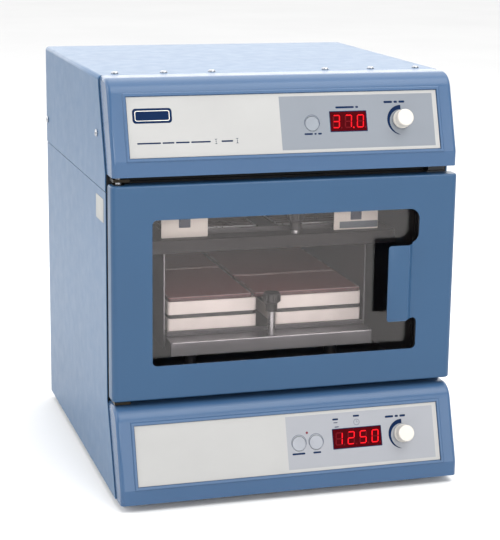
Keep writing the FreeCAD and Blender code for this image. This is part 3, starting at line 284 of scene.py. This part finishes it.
BLUE = (0.030, 0.088, 0.178)
materials = {
    "case": enamel("case_enamel", BLUE, 0.34, 700.0, 0.00006),
    "fascia": enamel("fascia_enamel", (0.036, 0.082, 0.165), 0.24, 1100.0, 0.00001),
    # door: the case's blue paint made darker, painted shade on the front-facing door
    "door": enamel("door_enamel_painted_shade", (0.018, 0.060, 0.129), 0.36, 900.0, 0.00004),
    "cream": plastic("cream_plastic", (0.50, 0.475, 0.435), 0.36),
    "film": plastic("button_film", (0.180, 0.200, 0.228), 0.36),
    "lower_film": plastic("lower_button_film", (0.232, 0.244, 0.270), 0.36),
    "display": plastic("display_filter", (0.050, 0.0004, 0.0018), 0.5, 200.0, 0.000004, 0.02),
    "black": plastic("black_plastic", (0.018, 0.018, 0.02), 0.45),
    "navy": plastic("navy_ink", (0.004, 0.014, 0.048), 0.7, specular=0.05),
    "ink": plastic("grey_ink", (0.075, 0.090, 0.125), 0.6, specular=0.2),
    "white": plastic("plate_white", (0.86, 0.82, 0.79), 0.42),
    "card": plastic("white_card", (0.74, 0.71, 0.66), 0.6),
    "board": plastic("circuit_board", (0.02, 0.16, 0.06), 0.45),
    # smoked lids: maroon tops, then painted shade on their sides and on the covers between the
    # plates
    "lid": smoked_covers("smoked_lid", (0.30, 0.115, 0.120), (0.075, 0.032, 0.035),
                         (0.040, 0.042, 0.044)),
    "mat": plastic("dark_mat", (0.060, 0.034, 0.036), 0.30, 700.0, 0.00001),
    "motor": enamel("motor_enamel", (0.02, 0.02, 0.022), 0.45),
    "zinc": plated("zinc_plate", (0.46, 0.47, 0.49), 0.30),
    # hinge brackets and bushes: zinc made near black, painted shade in the gap beside the door
    "bracket": plated("hinge_zinc_painted_shade", (0.022, 0.019, 0.015), 0.34),
    "liner": brushed("liner_steel", (0.33, 0.33, 0.337), 0.40, "X"),
    "deck": brushed("deck_steel", (0.265, 0.270, 0.292), 0.40, "X"),
    "dark_deck": brushed("shaded_deck_steel", (0.034, 0.033, 0.035), 0.55, "X"),
    "nest": brushed("nest_steel", (0.10, 0.10, 0.106), 0.32, "X"),
    # drive frame posts: near black, painted shade under the lower deck
    "post": enamel("post_painted_shade", (0.012, 0.012, 0.013), 0.6),
    "cover_edge": plastic("cover_edge", (0.34, 0.29, 0.29), 0.25),
    # chamber frame: near black, painted shade in the gap round the door
    "frame": enamel("frame_painted_shade", (0.004, 0.004, 0.005), 0.6),
    "aluminium": brushed("milled_aluminium", (0.62, 0.63, 0.64), 0.36, "Y"),
    "dark_steel": brushed("heater_steel", (0.25, 0.23, 0.21), 0.4, "X"),
    "rubber": rubber("black_rubber", (0.018, 0.018, 0.018)),
    # door seal: near black, painted shade in the gap round the door
    "seal": rubber("door_seal_painted_shade", (0.008, 0.008, 0.009), 0.8),
    "foam": foam("insulation_foam", (0.52, 0.50, 0.45)),
    "pane": tinted_pane("tinted_pane"),
    "led": glow("lit_segment", (1.0, 0.004, 0.014), 0.66, (0.5, 0.004, 0.008)),
    "led_off": plastic("dark_segment", (0.105, 0.002, 0.005), 0.4, specular=0.05),
    "slate": plastic("slate_print", (0.105, 0.135, 0.165), 0.5),
    "label": plastic("side_label_paper", (0.30, 0.30, 0.29), 0.6),
    "screw": plated("screw_head", (0.34, 0.35, 0.37), 0.16),
    "lamp": plastic("lamp_lens", (0.13, 0.008, 0.02), 0.2),
}
materials["upper_film"] = printed_film("upper_film", "upper_overlay", (0.155, 0.172, 0.197),
                                       -7.1, 3.0, 3.0, 4.8)
materials["lower_print"] = printed_film("lower_film", "lower_overlay", (0.236, 0.244, 0.265),
                                        -4.5, 3.0, 3.0, 4.8)

NODE_LOOKS = {
    "case": ["lower_body", "top_cover", "rear_panel"],
    "fascia": ["upper_fascia", "lower_fascia"],
    "door": ["door_skin"],
    "upper_film": ["upper_overlay"], "lower_print": ["lower_overlay"],
    "display": ["upper_display", "lower_display"],
    "film": ["set_button"], "lower_film": ["start_button", "mode_button"],
    "cream": ["upper_knob", "lower_knob"],
    "board": ["control_boards"],
    "screw": ["case_screws"],
    "zinc": ["rotary_controls", "hinge_pins", "upper_spindle", "lower_spindle", "drive_base",
             "base_bearings", "counterweight", "carrier_bearings", "hold_down_posts"],
    "bracket": ["hinge_brackets", "hinge_bushes"],
    "liner": ["chamber_liner", "temperature_probe"], "frame": ["chamber_frame"],
    "deck": ["lower_deck", "rack_sides"], "dark_deck": ["upper_deck"],
    "nest": ["plate_nests"], "post": ["drive_frame"],
    "aluminium": ["drive_pulley", "motor_pulley", "idler_front", "idler_rear", "fan_housing"],
    # catch_magnet and striker_plate take the black plastic as painted shade in the gap at the
    # door's edge
    "black": ["door_liner", "window_gasket", "catch_magnet", "striker_plate", "mains_inlet",
              "fan_impeller", "lower_hold_knob", "upper_hold_knob"],
    "rubber": ["feet", "drive_belt"], "seal": ["door_seal"], "foam": ["insulation"],
    "motor": ["drive_motor", "fan_motor", "power_supply"], "dark_steel": ["heater_element"],
    "white": ["microplates"], "lid": ["plate_lids"], "pane": ["window_pane"],
}
SOFT_EDGES = {"lower_body": 0.25, "top_cover": 0.25, "rear_panel": 0.2, "upper_fascia": 0.35,
              "lower_fascia": 0.35, "door_skin": 0.3, "lower_deck": 0.3, "upper_deck": 0.3,
              "rack_sides": 0.25, "plate_nests": 0.4, "microplates": 0.5, "plate_lids": 0.5,
              "door_liner": 0.5, "window_gasket": 0.5, "chamber_frame": 0.2,
              "hinge_brackets": 0.3, "catch_magnet": 0.4, "feet": 0.5, "mains_inlet": 0.4,
              "drive_base": 0.4, "drive_frame": 0.5, "drive_pulley": 0.4, "power_supply": 0.6,
              "lower_hold_knob": 0.4, "upper_hold_knob": 0.4, "set_button": 0.15,
              "start_button": 0.15, "mode_button": 0.15}


def dress_nodes():
    """Gives every CAD node its material, and softens the edges of those that show."""
    for look, nodes in NODE_LOOKS.items():
        for name in nodes:
            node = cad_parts[name]
            for slot in node.material_slots:
                slot.link = "OBJECT"
                slot.material = materials[look]
            if not node.material_slots:
                node.data.materials.append(materials[look])
    for name, width in SOFT_EDGES.items():
        soften(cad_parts[name], width * MM)


def soften(piece, width):
    """Merges flat facets and rounds the sharp edges of a CAD piece."""
    weld = piece.modifiers.new("weld", "WELD")
    weld.merge_threshold = 0.00001
    flats = piece.modifiers.new("flats", "DECIMATE")
    flats.decimate_type = "DISSOLVE"
    flats.angle_limit = math.radians(0.5)
    bevel = piece.modifiers.new("bevel", "BEVEL")
    bevel.width = width
    bevel.segments = 2
    bevel.limit_method = "ANGLE"
    bevel.angle_limit = math.radians(35)
    bevel.harden_normals = True
    bevel.use_clamp_overlap = True


# ---------------------------------------------------------------- mesh pieces

def finish_piece(name, shape, material, body, smooth=False):
    """Turns a bmesh into an object that rides on a body and has a material slot."""
    mesh = bpy.data.meshes.new(name)
    bmesh.ops.recalc_face_normals(shape, faces=shape.faces)
    shape.to_mesh(mesh)
    shape.free()
    for face in mesh.polygons:
        face.use_smooth = smooth
    piece = bpy.data.objects.new(name, mesh)
    bpy.context.scene.collection.objects.link(piece)
    mesh.materials.append(material)
    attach(piece, body)
    return piece


def prism(shape, outline, low, high, to_world):
    """A closed prism over an outline of plane points, between two lifts."""
    bottom = [shape.verts.new(to_world(x, y, low)) for x, y in outline]
    top = [shape.verts.new(to_world(x, y, high)) for x, y in outline]
    count = len(outline)
    shape.faces.new(bottom[::-1])
    shape.faces.new(top)
    for index in range(count):
        other = (index + 1) % count
        shape.faces.new((bottom[index], bottom[other], top[other], top[index]))


def ring_band(shape, outer, inner, low, high, to_world):
    """A closed band between two outlines of the same number of points."""
    loops = [[shape.verts.new(to_world(x, y, lift)) for x, y in outline]
             for outline, lift in ((outer, low), (outer, high), (inner, high), (inner, low))]
    count = len(outer)
    for first, second in ((0, 1), (1, 2), (2, 3), (3, 0)):
        for index in range(count):
            other = (index + 1) % count
            shape.faces.new((loops[first][index], loops[first][other],
                             loops[second][other], loops[second][index]))


def circle_points(x, y, radius, count=48):
    """Outline of a circle."""
    return [(x + radius * math.cos(step * math.tau / count),
             y + radius * math.sin(step * math.tau / count)) for step in range(count)]


def rounded_points(left, low, right, high, radius, steps=5):
    """Outline of a rectangle with round corners."""
    points = []
    for x, y, start in ((right - radius, low + radius, -90), (right - radius, high - radius, 0),
                        (left + radius, high - radius, 90), (left + radius, low + radius, 180)):
        for step in range(steps + 1):
            turn = math.radians(start + 90 * step / steps)
            points.append((x + radius * math.cos(turn), y + radius * math.sin(turn)))
    return points


class SlopedFace:
    """The outer surface of an overlay: places on it in millimetres across and up the slope."""

    LEAN = math.radians(18.2)
    FILM = 0.5

    def __init__(self, node):
        low = Vector(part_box(node)[0])
        self.out = Vector((0, -math.cos(self.LEAN), math.sin(self.LEAN)))
        self.rise = Vector((0, math.sin(self.LEAN), math.cos(self.LEAN)))
        self.foot = Vector((0, low.y, low.z + self.FILM * MM * math.sin(self.LEAN)))

    def at(self, across, rise, lift=0.0):
        """World place of a point on the slope, lifted off it."""
        return (self.foot + Vector((across * MM, 0, 0)) + self.rise * rise * MM
                + self.out * lift * MM)

    def middle_of(self, node):
        """Across and up-slope place of the middle of a node."""
        low, high = (Vector(corner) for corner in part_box(node))
        offset = (low + high) / 2 - self.foot
        return offset.x / MM, offset.dot(self.rise) / MM

    def half_size_of(self, node):
        """Half the width and half the height up the slope of a node that lies on it."""
        low, high = (Vector(corner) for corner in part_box(node))
        box_deep, box_tall = high.y - low.y, high.z - low.z
        tall = (box_tall - box_deep * math.tan(self.LEAN)) / (
            math.cos(self.LEAN) - math.sin(self.LEAN) * math.tan(self.LEAN))
        return (high.x - low.x) / 2 / MM, tall / 2 / MM


SEGMENTS = {"0": "abcdef", "1": "bc", "2": "abged", "3": "abgcd", "5": "afgcd", "7": "abc"}
BAR_THICK, BAR_SUNK, LIT_RISE = 1.15, -0.09, 0.02
POINT_RADIUS = 0.85


def segment_outline(which, wide, tall, thick):
    """Hexagonal bar of a seven-segment figure whose middle is at the origin."""
    half, quarter = wide / 2, tall / 4
    level = {"a": tall / 2, "g": 0.0, "d": -tall / 2}
    upright = {"b": (half, quarter), "c": (half, -quarter), "f": (-half, quarter),
               "e": (-half, -quarter)}
    tip = thick / 2
    if which in level:
        reach = half - thick * 0.15
        y = level[which]
        points = [(-reach, y), (-reach + tip, y - tip), (reach - tip, y - tip), (reach, y),
                  (reach - tip, y + tip), (-reach + tip, y + tip)]
    else:
        x, y = upright[which]
        reach = quarter - thick * 0.15
        points = [(x, y - reach), (x + tip, y - reach + tip), (x + tip, y + reach - tip),
                  (x, y + reach), (x - tip, y + reach - tip), (x - tip, y - reach + tip)]
    slant = 0.09
    return [(px + slant * py, py) for px, py in points]


def number_display(face, node, figures, point_after):
    """Seven-segment figures on a display: bright bars and the faint unlit ones."""
    middle_x, middle_y = face.middle_of(node)
    half_x, half_y = face.half_size_of(node)
    lit, dark = bmesh.new(), bmesh.new()
    pitch = 2 * half_x / len(figures)
    for index, figure in enumerate(figures):
        centre = middle_x - half_x + pitch * (index + 0.5)
        for which in "abcdefg":
            outline = [(centre + x, middle_y + y) for x, y in
                       segment_outline(which, pitch * 0.50, half_y * 1.24, BAR_THICK)]
            on = which in SEGMENTS[figure]
            prism(lit if on else dark, outline, BAR_SUNK, LIT_RISE if on else -LIT_RISE, face.at)
        spot = circle_points(centre + pitch * 0.40, middle_y - half_y * 0.64, POINT_RADIUS, 16)
        on = index == point_after
        prism(lit if on else dark, spot, BAR_SUNK, LIT_RISE if on else -LIT_RISE, face.at)
    finish_piece(f"{node}_lit_bars", lit, materials["led"], "case")
    finish_piece(f"{node}_dark_bars", dark, materials["led_off"], "case")
    border = bmesh.new()
    outer = rounded_points(middle_x - half_x - 0.7, middle_y - half_y - 0.7,
                           middle_x + half_x + 0.7, middle_y + half_y + 0.7, 0.6)
    inner = rounded_points(middle_x - half_x + 0.1, middle_y - half_y + 0.1,
                           middle_x + half_x - 0.1, middle_y + half_y - 0.1, 0.3)
    ring_band(border, outer, inner, 0.0, 0.06, face.at)
    finish_piece(f"{node}_border", border, materials["navy"], "case")


TURN_MARK_RADIUS, TURN_MARK_BROAD, TURN_MARK_TAIL = 15.6, 4.6, 0.1


def crescent(face, node, name):
    """Printed turn mark round a knob: broad and square-cut at the top, thin at the tail."""
    x, y = face.middle_of(node)
    x, y = x + 0.2, y - 0.35
    start, finish, steps = math.radians(90), math.radians(262), 40
    outer, inner = [], []
    for step in range(steps + 1):
        part = step / steps
        turn = start + (finish - start) * part
        depth = TURN_MARK_BROAD * (1 - part) ** 0.7 + TURN_MARK_TAIL
        for edge, radius in ((outer, TURN_MARK_RADIUS), (inner, TURN_MARK_RADIUS - depth)):
            edge.append((x + radius * math.cos(turn), y + radius * math.sin(turn)))
    shape = bmesh.new()
    prism(shape, outer + inner[::-1], 0.0, INK, face.at)
    finish_piece(name, shape, materials["navy"], "case")


BUTTON_RING_RADIUS, BUTTON_RING_LINE = 7.75, 0.55


def ring_mark(face, node):
    """Thin printed circle round a button."""
    x, y = face.middle_of(node)
    shape = bmesh.new()
    ring_band(shape, circle_points(x, y, BUTTON_RING_RADIUS + BUTTON_RING_LINE),
              circle_points(x, y, BUTTON_RING_RADIUS), 0.0, INK, face.at)
    finish_piece(f"{node}_ring", shape, materials["ink"], "case")


def word_marks(face, name, rows):
    """Plain dashes that stand in for printed captions: (start, rise, widths, height)."""
    shape = bmesh.new()
    for start, rise, widths, tall in rows:
        x = start
        for wide in widths:
            outline = rounded_points(x, rise - tall / 2, x + wide, rise + tall / 2, tall * 0.45, 3)
            prism(shape, outline, 0.0, 0.04, face.at)
            x += wide + 1.6
    finish_piece(name, shape, materials["navy"], "case")


def clock_mark(face, across, rise, name):
    """Small clock pictogram: a ring and two hands."""
    shape = bmesh.new()
    ring_band(shape, circle_points(across, rise, 3.3, 32), circle_points(across, rise, 2.8, 32),
              0.0, INK, face.at)
    for reach_across, reach_up in ((0.2, 2.0), (1.6, 0.2)):
        prism(shape, rounded_points(across - 0.2, rise - 0.2, across + reach_across,
                                    rise + reach_up, 0.1, 2), 0.0, INK, face.at)
    finish_piece(name, shape, materials["ink"], "case")


def badge(face, across, rise, name):
    """Plain navy badge with a thin pale line inside its edge."""
    shape = bmesh.new()
    prism(shape, rounded_points(across - 20, rise - 7.5, across + 20, rise + 7.5, 3.5), 0.0, 0.10,
          face.at)
    finish_piece(name, shape, materials["navy"], "case")
    line = bmesh.new()
    ring_band(line, rounded_points(across - 17.6, rise - 5.2, across + 17.6, rise + 5.2, 2.0),
              rounded_points(across - 17.0, rise - 4.6, across + 17.0, rise + 4.6, 1.5), 0.08,
              0.13, face.at)
    finish_piece(f"{name}_line", line, materials["card"], "case")


def turn_profile(shape, profile, matrix, steps):
    """Adds a turned surface from (radius, height) points in millimetres."""
    rings = []
    for radius, height in profile:
        count = steps if radius else 1
        rings.append([shape.verts.new(matrix @ Vector((
            radius * MM * math.cos(step * math.tau / steps),
            radius * MM * math.sin(step * math.tau / steps), height * MM)))
            for step in range(count)])
    for first, second in zip(rings, rings[1:]):
        for step in range(steps):
            other = (step + 1) % steps
            corners = [first[step % len(first)], first[other % len(first)],
                       second[other % len(second)], second[step % len(second)]]
            unique = list(dict.fromkeys(corners))
            if len(unique) > 2:
                shape.faces.new(unique)


def lathe(name, profile, matrix, material, body, steps=72):
    """A closed turned piece."""
    shape = bmesh.new()
    turn_profile(shape, profile, matrix, steps)
    return finish_piece(name, shape, material, body, smooth=True)


def arc_profile(radius, height, bend, start, finish, steps=6):
    """Points of a rounded corner of a turned profile about (radius, height)."""
    return [(radius + bend * math.cos(math.radians(start + (finish - start) * step / steps)),
             height + bend * math.sin(math.radians(start + (finish - start) * step / steps)))
            for step in range(steps + 1)]


def detailed_knob(face, node, name, body):
    """Cream knob: low skirt, slightly coned grip, softly rounded cap with a shallow dish."""
    x, y = face.middle_of(node)
    low = face.at(x, y, 0.0)
    turn = Matrix((Vector((1, 0, 0)), face.rise, face.out)).transposed().to_4x4()
    matrix = Matrix.Translation(low) @ turn
    # Half outline as (radius, height), from the skirt up to the dish in the cap.
    profile = [(0, 0.9), (9.1, 0.9)]
    profile += arc_profile(9.1, 1.3, 0.4, -90, 0)
    profile += arc_profile(9.0, 3.2, 0.5, 0, 70)
    profile += [(8.9, 4.2), (8.8, 6.0), (8.7, 10.0)]
    profile += arc_profile(7.5, 12.4, 1.2, 0, 90)
    profile += [(6.0, 13.5), (3.0, 13.4), (0, 13.35)]
    piece = lathe(name, profile, matrix, materials["cream"], body)
    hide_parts(node)
    return piece


# Half outline of a domed screw head with a socket, as (radius, height).
SCREW_HEAD = [(0, 0.05), (3.75, 0.05), (3.75, 0.6), (3.45, 1.25), (2.7, 1.85), (1.9, 2.1),
              (1.45, 2.1), (1.3, 1.95), (1.3, 0.9), (0, 0.9)]


REAR_SCREWS_OUT = 0.172     # metres from the middle plane


def screw_spots():
    """Middle and outward direction of every screw head on the case."""
    low, high = (Vector(corner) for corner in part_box("top_cover"))
    panel_low, panel_high = (Vector(corner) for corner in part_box("rear_panel"))
    spots = [((side * (61.6 + 50.9 * step) * MM, low.y + 47.6 * MM, high.z), (0, 0, 1))
             for side in (-1, 1) for step in range(3)]
    for x, side in ((low.x, -1), (high.x, 1)):
        for back, up in ((39.2, 53.6), (335.0, 27.1)):
            spots.append(((x, low.y + back * MM, low.z + up * MM), (side, 0, 0)))
    for side in (-1, 1):
        for up in (10.5, 298.5, 408.5):
            spots.append(((side * REAR_SCREWS_OUT, panel_high.y, panel_low.z + up * MM),
                          (0, 1, 0)))
    return spots


def screw_heads():
    """Domed socket screws in place of the plain heads."""
    shape = bmesh.new()
    for middle, out in screw_spots():
        turn = Vector(out).to_track_quat("Z", "Y").to_matrix().to_4x4()
        turn_profile(shape, SCREW_HEAD, Matrix.Translation(middle) @ turn, 28)
    piece = finish_piece("domed_screws", shape, materials["screw"], "case", smooth=True)
    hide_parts("case_screws")


# ---------------------------------------------------------------- assembly of the details

def controls():
    """Everything on the two fascias: displays, marks, knobs, badge and lamp."""
    upper, lower = SlopedFace("upper_overlay"), SlopedFace("lower_overlay")
    number_display(upper, "upper_display", "370", 1)
    number_display(lower, "lower_display", "1250", -1)
    crescent(upper, "upper_knob", "upper_turn_mark")
    crescent(lower, "lower_knob", "lower_turn_mark")
    ring_mark(upper, "set_button")
    ring_mark(lower, "start_button")
    ring_mark(lower, "mode_button")
    detailed_knob(upper, "upper_knob", "upper_turned_knob", "upper_knob_body")
    detailed_knob(lower, "lower_knob", "lower_turned_knob", "lower_knob_body")
    display_x, display_y = upper.middle_of("upper_display")
    knob_x, knob_y = upper.middle_of("upper_knob")
    button_x, button_y = upper.middle_of("set_button")
    badge(upper, -139.0, 42.0, "plain_badge")
    word_marks(upper, "upper_marks", [
        (-156.0, 14.5, (24, 12, 14, 20), 1.5), (-76.0, 14.5, (0.7,), 5.0),
        (-70.0, 14.5, (12,), 1.6), (-54.0, 14.5, (0.7,), 5.0),
        (display_x - 13, display_y + 14.5, (20, 3), 2.0),
        (button_x - 9, button_y - 11.5, (9, 2.4, 4), 1.8),
        (knob_x - 18, knob_y + 18.6, (9.5, 3.8, 6.5), 2.2)])
    display_x, display_y = lower.middle_of("lower_display")
    knob_x, knob_y = lower.middle_of("lower_knob")
    start_x, start_y = lower.middle_of("start_button")
    mode_x, mode_y = lower.middle_of("mode_button")
    word_marks(lower, "lower_marks", [
        (start_x - 8, start_y - 11.5, (14,), 1.9), (mode_x - 4, mode_y - 11.5, (8.5,), 1.9),
        (display_x - 26, display_y + 20.5, (6.5,), 1.9),
        (display_x - 25, display_y + 17.0, (4.5,), 0.8),
        (display_x - 24, display_y + 12.5, (4.5,), 0.9),
        (display_x - 3, display_y + 22.5, (7,), 1.9),
        (knob_x - 18, knob_y + 18.6, (9.5, 3.8, 6.5), 2.2)])
    clock_mark(lower, display_x + 0.5, display_y + 16.0, "clock_mark")
    lamp = bmesh.new()
    lamp_x, lamp_y = (start_x + mode_x) / 2, start_y + 9.6
    prism(lamp, circle_points(lamp_x, lamp_y, 1.3, 24), 0.0, 0.25, lower.at)
    finish_piece("status_lamp", lamp, materials["lamp"], "case")


def side_label():
    """Blank label on the left side of the case, just under the cover's seam."""
    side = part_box("lower_body")[0][0]
    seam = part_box("top_cover")[0][2]
    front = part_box("chamber_frame")[0][1]

    def on_side(back, up, lift):
        return Vector((side - lift * MM, front + back * MM, seam + up * MM))
    shape = bmesh.new()
    prism(shape, rounded_points(9, -34, 47, -9.5, 1.5), 0.0, 0.25, on_side)
    finish_piece("side_label", shape, materials["label"], "case")


CARD_INNER, CARD_OUTER, CARD_TALL, CARD_THICK = 69.6, 119.2, 30.0, 1.2
CARD_BACK = 12.0
MARK_HALF_WIDE, MARK_LOW, MARK_HIGH, MARK_THICK = 6.2, 10.3, 21.7, 0.12


def deck_cards():
    """White label cards that stand near the outer front corners of the upper deck."""
    low, high = (Vector(corner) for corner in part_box("upper_deck"))

    def standing(across, up, depth):
        return Vector((across * MM, low.y + (CARD_BACK + depth) * MM, high.z + up * MM))
    for side, name in ((-1, "left_card"), (1, "right_card")):
        left, right = sorted((side * CARD_INNER, side * CARD_OUTER))
        centre = (left + right) / 2
        shape = bmesh.new()
        prism(shape, rounded_points(left, 0.1, right, CARD_TALL, 0.8), 0.0, CARD_THICK, standing)
        finish_piece(name, shape, materials["card"], "carrier")
        mark = bmesh.new()
        prism(mark, rounded_points(centre - MARK_HALF_WIDE, MARK_LOW, centre + MARK_HALF_WIDE,
                                   MARK_HIGH, 0.6), -MARK_THICK, 0.0, standing)
        finish_piece(f"{name}_mark", mark, materials["ink"], "carrier")
    band = bmesh.new()
    prism(band, rounded_points(76.0, 1.6, 119.0, 8.8, 0.5), -MARK_THICK, 0.0, standing)
    finish_piece("right_card_band", band, materials["slate"], "carrier")


LEFT_COVER_DEPTH, RIGHT_COVER_DEPTH, COVER_GAP = 129.2, 82.2, 3.0
LEFT_COVERS_END, RIGHT_COVERS_START = -15.5, -12.5


def cover_rims():
    """Pale moulded rims round the tops of the four dark covers over the plates."""
    low, high = (Vector(corner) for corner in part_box("plate_lids"))
    shape = bmesh.new()

    def lying(x, y, lift):
        return Vector((x, y, high.z + lift * MM))
    for left, right, seam in ((low.x, LEFT_COVERS_END * MM, low.y + LEFT_COVER_DEPTH * MM),
                              (RIGHT_COVERS_START * MM, high.x,
                               low.y + RIGHT_COVER_DEPTH * MM)):
        for front, rear in ((low.y, seam), (seam + COVER_GAP * MM, high.y)):
            outlines = [rounded_points(left + step, front + step, right - step, rear - step, bend)
                        for step, bend in ((0.5 * MM, 2.6 * MM), (1.5 * MM, 1.8 * MM))]
            ring_band(shape, *outlines, -0.02, 0.45, lying)
    finish_piece("cover_rims", shape, materials["cover_edge"], "carrier")


def deck_bead():
    """Polished rolled edge along the top of the lower deck's front flange."""
    low, high = (Vector(corner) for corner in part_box("lower_deck"))
    radius, tuck, sides = 0.9 * MM, 1.05, 12
    shape = bmesh.new()
    outline = [(low.y + radius * (tuck + math.cos(step * math.tau / sides)),
                high.z - radius * (tuck + math.sin(step * math.tau / sides)))
               for step in range(sides)]
    prism(shape, outline, low.x + 2 * MM, high.x - 2 * MM, lambda y, z, x: Vector((x, y, z)))
    finish_piece("deck_bead", shape, materials["screw"], "carrier")


def seat_mats():
    """Dark ribbed mats with a polished rim in the empty seats of the upper deck."""
    low, high = (Vector(corner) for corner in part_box("plate_nests"))
    wide, deep, count, lip = 97.0, 129.0, 12, 1.4
    pitch = deep / count
    rims = bmesh.new()
    for column, left in (("left", low.x + 2.3 * MM), ("right", 10.8 * MM)):
        for row, front in (("front", low.y + 5.5 * MM), ("rear", low.y + 141.5 * MM)):
            shape = bmesh.new()

            def lying(x, y, lift, left=left, front=front):
                return Vector((left + x * MM, front + y * MM, high.z + (lift - lip) * MM))
            prism(shape, rounded_points(0, 0, wide, deep, 3.0), 0.0, 1.0, lying)
            for index in range(count):
                start = index * pitch + 1.6
                prism(shape, rounded_points(3, start, wide - 3, start + pitch - 3.2, 1.2, 3),
                      1.0, 1.7, lying)
            finish_piece(f"seat_mat_{column}_{row}", shape, materials["mat"], "carrier")
            ring_band(rims, rounded_points(0.1, 0.1, wide - 0.1, deep - 0.1, 3.0),
                      rounded_points(1.5, 1.5, wide - 1.5, deep - 1.5, 2.0), 0.9, 2.3, lying)
    finish_piece("seat_rims", rims, materials["zinc"], "carrier")


# ---------------------------------------------------------------- stage, light and camera

def stage():
    """Pale matt floor."""
    mesh = bpy.data.meshes.new("floor")
    reach = 12.0
    mesh.from_pydata([(-reach, -reach, 0), (reach, -reach, 0), (reach, reach, 0),
                      (-reach, reach, 0)], [], [(0, 1, 2, 3)])
    floor = bpy.data.objects.new("floor", mesh)
    bpy.context.scene.collection.objects.link(floor)
    look = Look("pale_floor")
    look.colour(look.blend(look.levels(look.noise(1.5), 0, 1), (0.72, 0.72, 0.72),
                           (0.75, 0.75, 0.75)))
    look.fixed(Roughness=0.9, Specular_IOR_Level=0.1)
    mesh.materials.append(look.material)


def world_light():
    """A bright white studio, dimmer in front of the object than behind and beside it."""
    world = bpy.data.worlds.new("studio")
    world.use_nodes = True
    tree = world.node_tree
    direction = tree.nodes.new("ShaderNodeTexCoord")
    split = tree.nodes.new("ShaderNodeSeparateXYZ")
    tree.links.new(direction.outputs["Generated"], split.inputs["Vector"])
    level = tree.nodes.new("ShaderNodeMapRange")
    for name, number in (("From Min", -0.6), ("From Max", 0.9), ("To Min", 0.40),
                         ("To Max", 2.3)):
        level.inputs[name].default_value = number
    tree.links.new(split.outputs["Y"], level.inputs["Value"])
    background = tree.nodes["Background"]
    background.inputs["Color"].default_value = (1.0, 1.0, 1.0, 1.0)
    tree.links.new(level.outputs["Result"], background.inputs["Strength"])
    bpy.context.scene.world = world


# Name, place, point aimed at, width and height, all in metres, and power in watts.
LAMPS = [
    ("key", (-2.7, -0.3, 1.9), (0, 0, 0.2), (1.8, 1.8), 40),
    ("front", (-1.0, -2.7, 0.95), (0, 0, 0.22), (0.9, 0.6), 20),
    ("sheen", (0.9, -3.2, 1.22), (0, 0, 0.35), (2.8, 1.6), 46),
    ("high", (0.8, -1.5, 2.5), (0, 0, 0.25), (2.4, 1.6), 56),
    ("top", (0.3, 0.4, 2.8), (0, 0, 0.2), (2.6, 2.6), 34),
]


def soft_box(name, place, target, size, power):
    """Rectangular area light aimed at a point."""
    lamp = bpy.data.lights.new(name, "AREA")
    lamp.shape = "RECTANGLE"
    lamp.size, lamp.size_y = size
    lamp.energy = power
    holder = bpy.data.objects.new(name, lamp)
    holder.location = place
    holder.rotation_euler = (Vector(target) - Vector(place)).to_track_quat("-Z", "Y").to_euler()
    bpy.context.scene.collection.objects.link(holder)


CAMERA_PLACE = (-0.5006, -1.7012, 0.6135)
CAMERA_ANGLES = (16.71, 13.21, 0.73)        # azimuth, elevation and roll in degrees
LENS = 107.75


def camera():
    """Long lens from the front left, a little above the object, with a slight roll."""
    azimuth, elevation, roll = (math.radians(angle) for angle in CAMERA_ANGLES)
    forward = Vector((math.sin(azimuth) * math.cos(elevation),
                      math.cos(azimuth) * math.cos(elevation), -math.sin(elevation)))
    level = Vector((math.cos(azimuth), -math.sin(azimuth), 0))
    above = level.cross(forward)
    right = level * math.cos(roll) + above * math.sin(roll)
    up = above * math.cos(roll) - level * math.sin(roll)
    lens = bpy.data.cameras.new("camera")
    lens.lens = LENS
    lens.sensor_width = 36.0
    lens.clip_end = 100.0
    holder = bpy.data.objects.new("camera", lens)
    turn = Matrix((right, up, -forward)).transposed().to_4x4()
    holder.matrix_world = Matrix.Translation(CAMERA_PLACE) @ turn
    bpy.context.scene.collection.objects.link(holder)
    bpy.context.scene.camera = holder


dress_nodes()
controls()
screw_heads()
side_label()
deck_cards()
cover_rims()
deck_bead()
seat_mats()
stage()
world_light()
for lamp in LAMPS:
    soft_box(*lamp)
camera()
bpy.context.scene.view_settings.view_transform = "Standard"
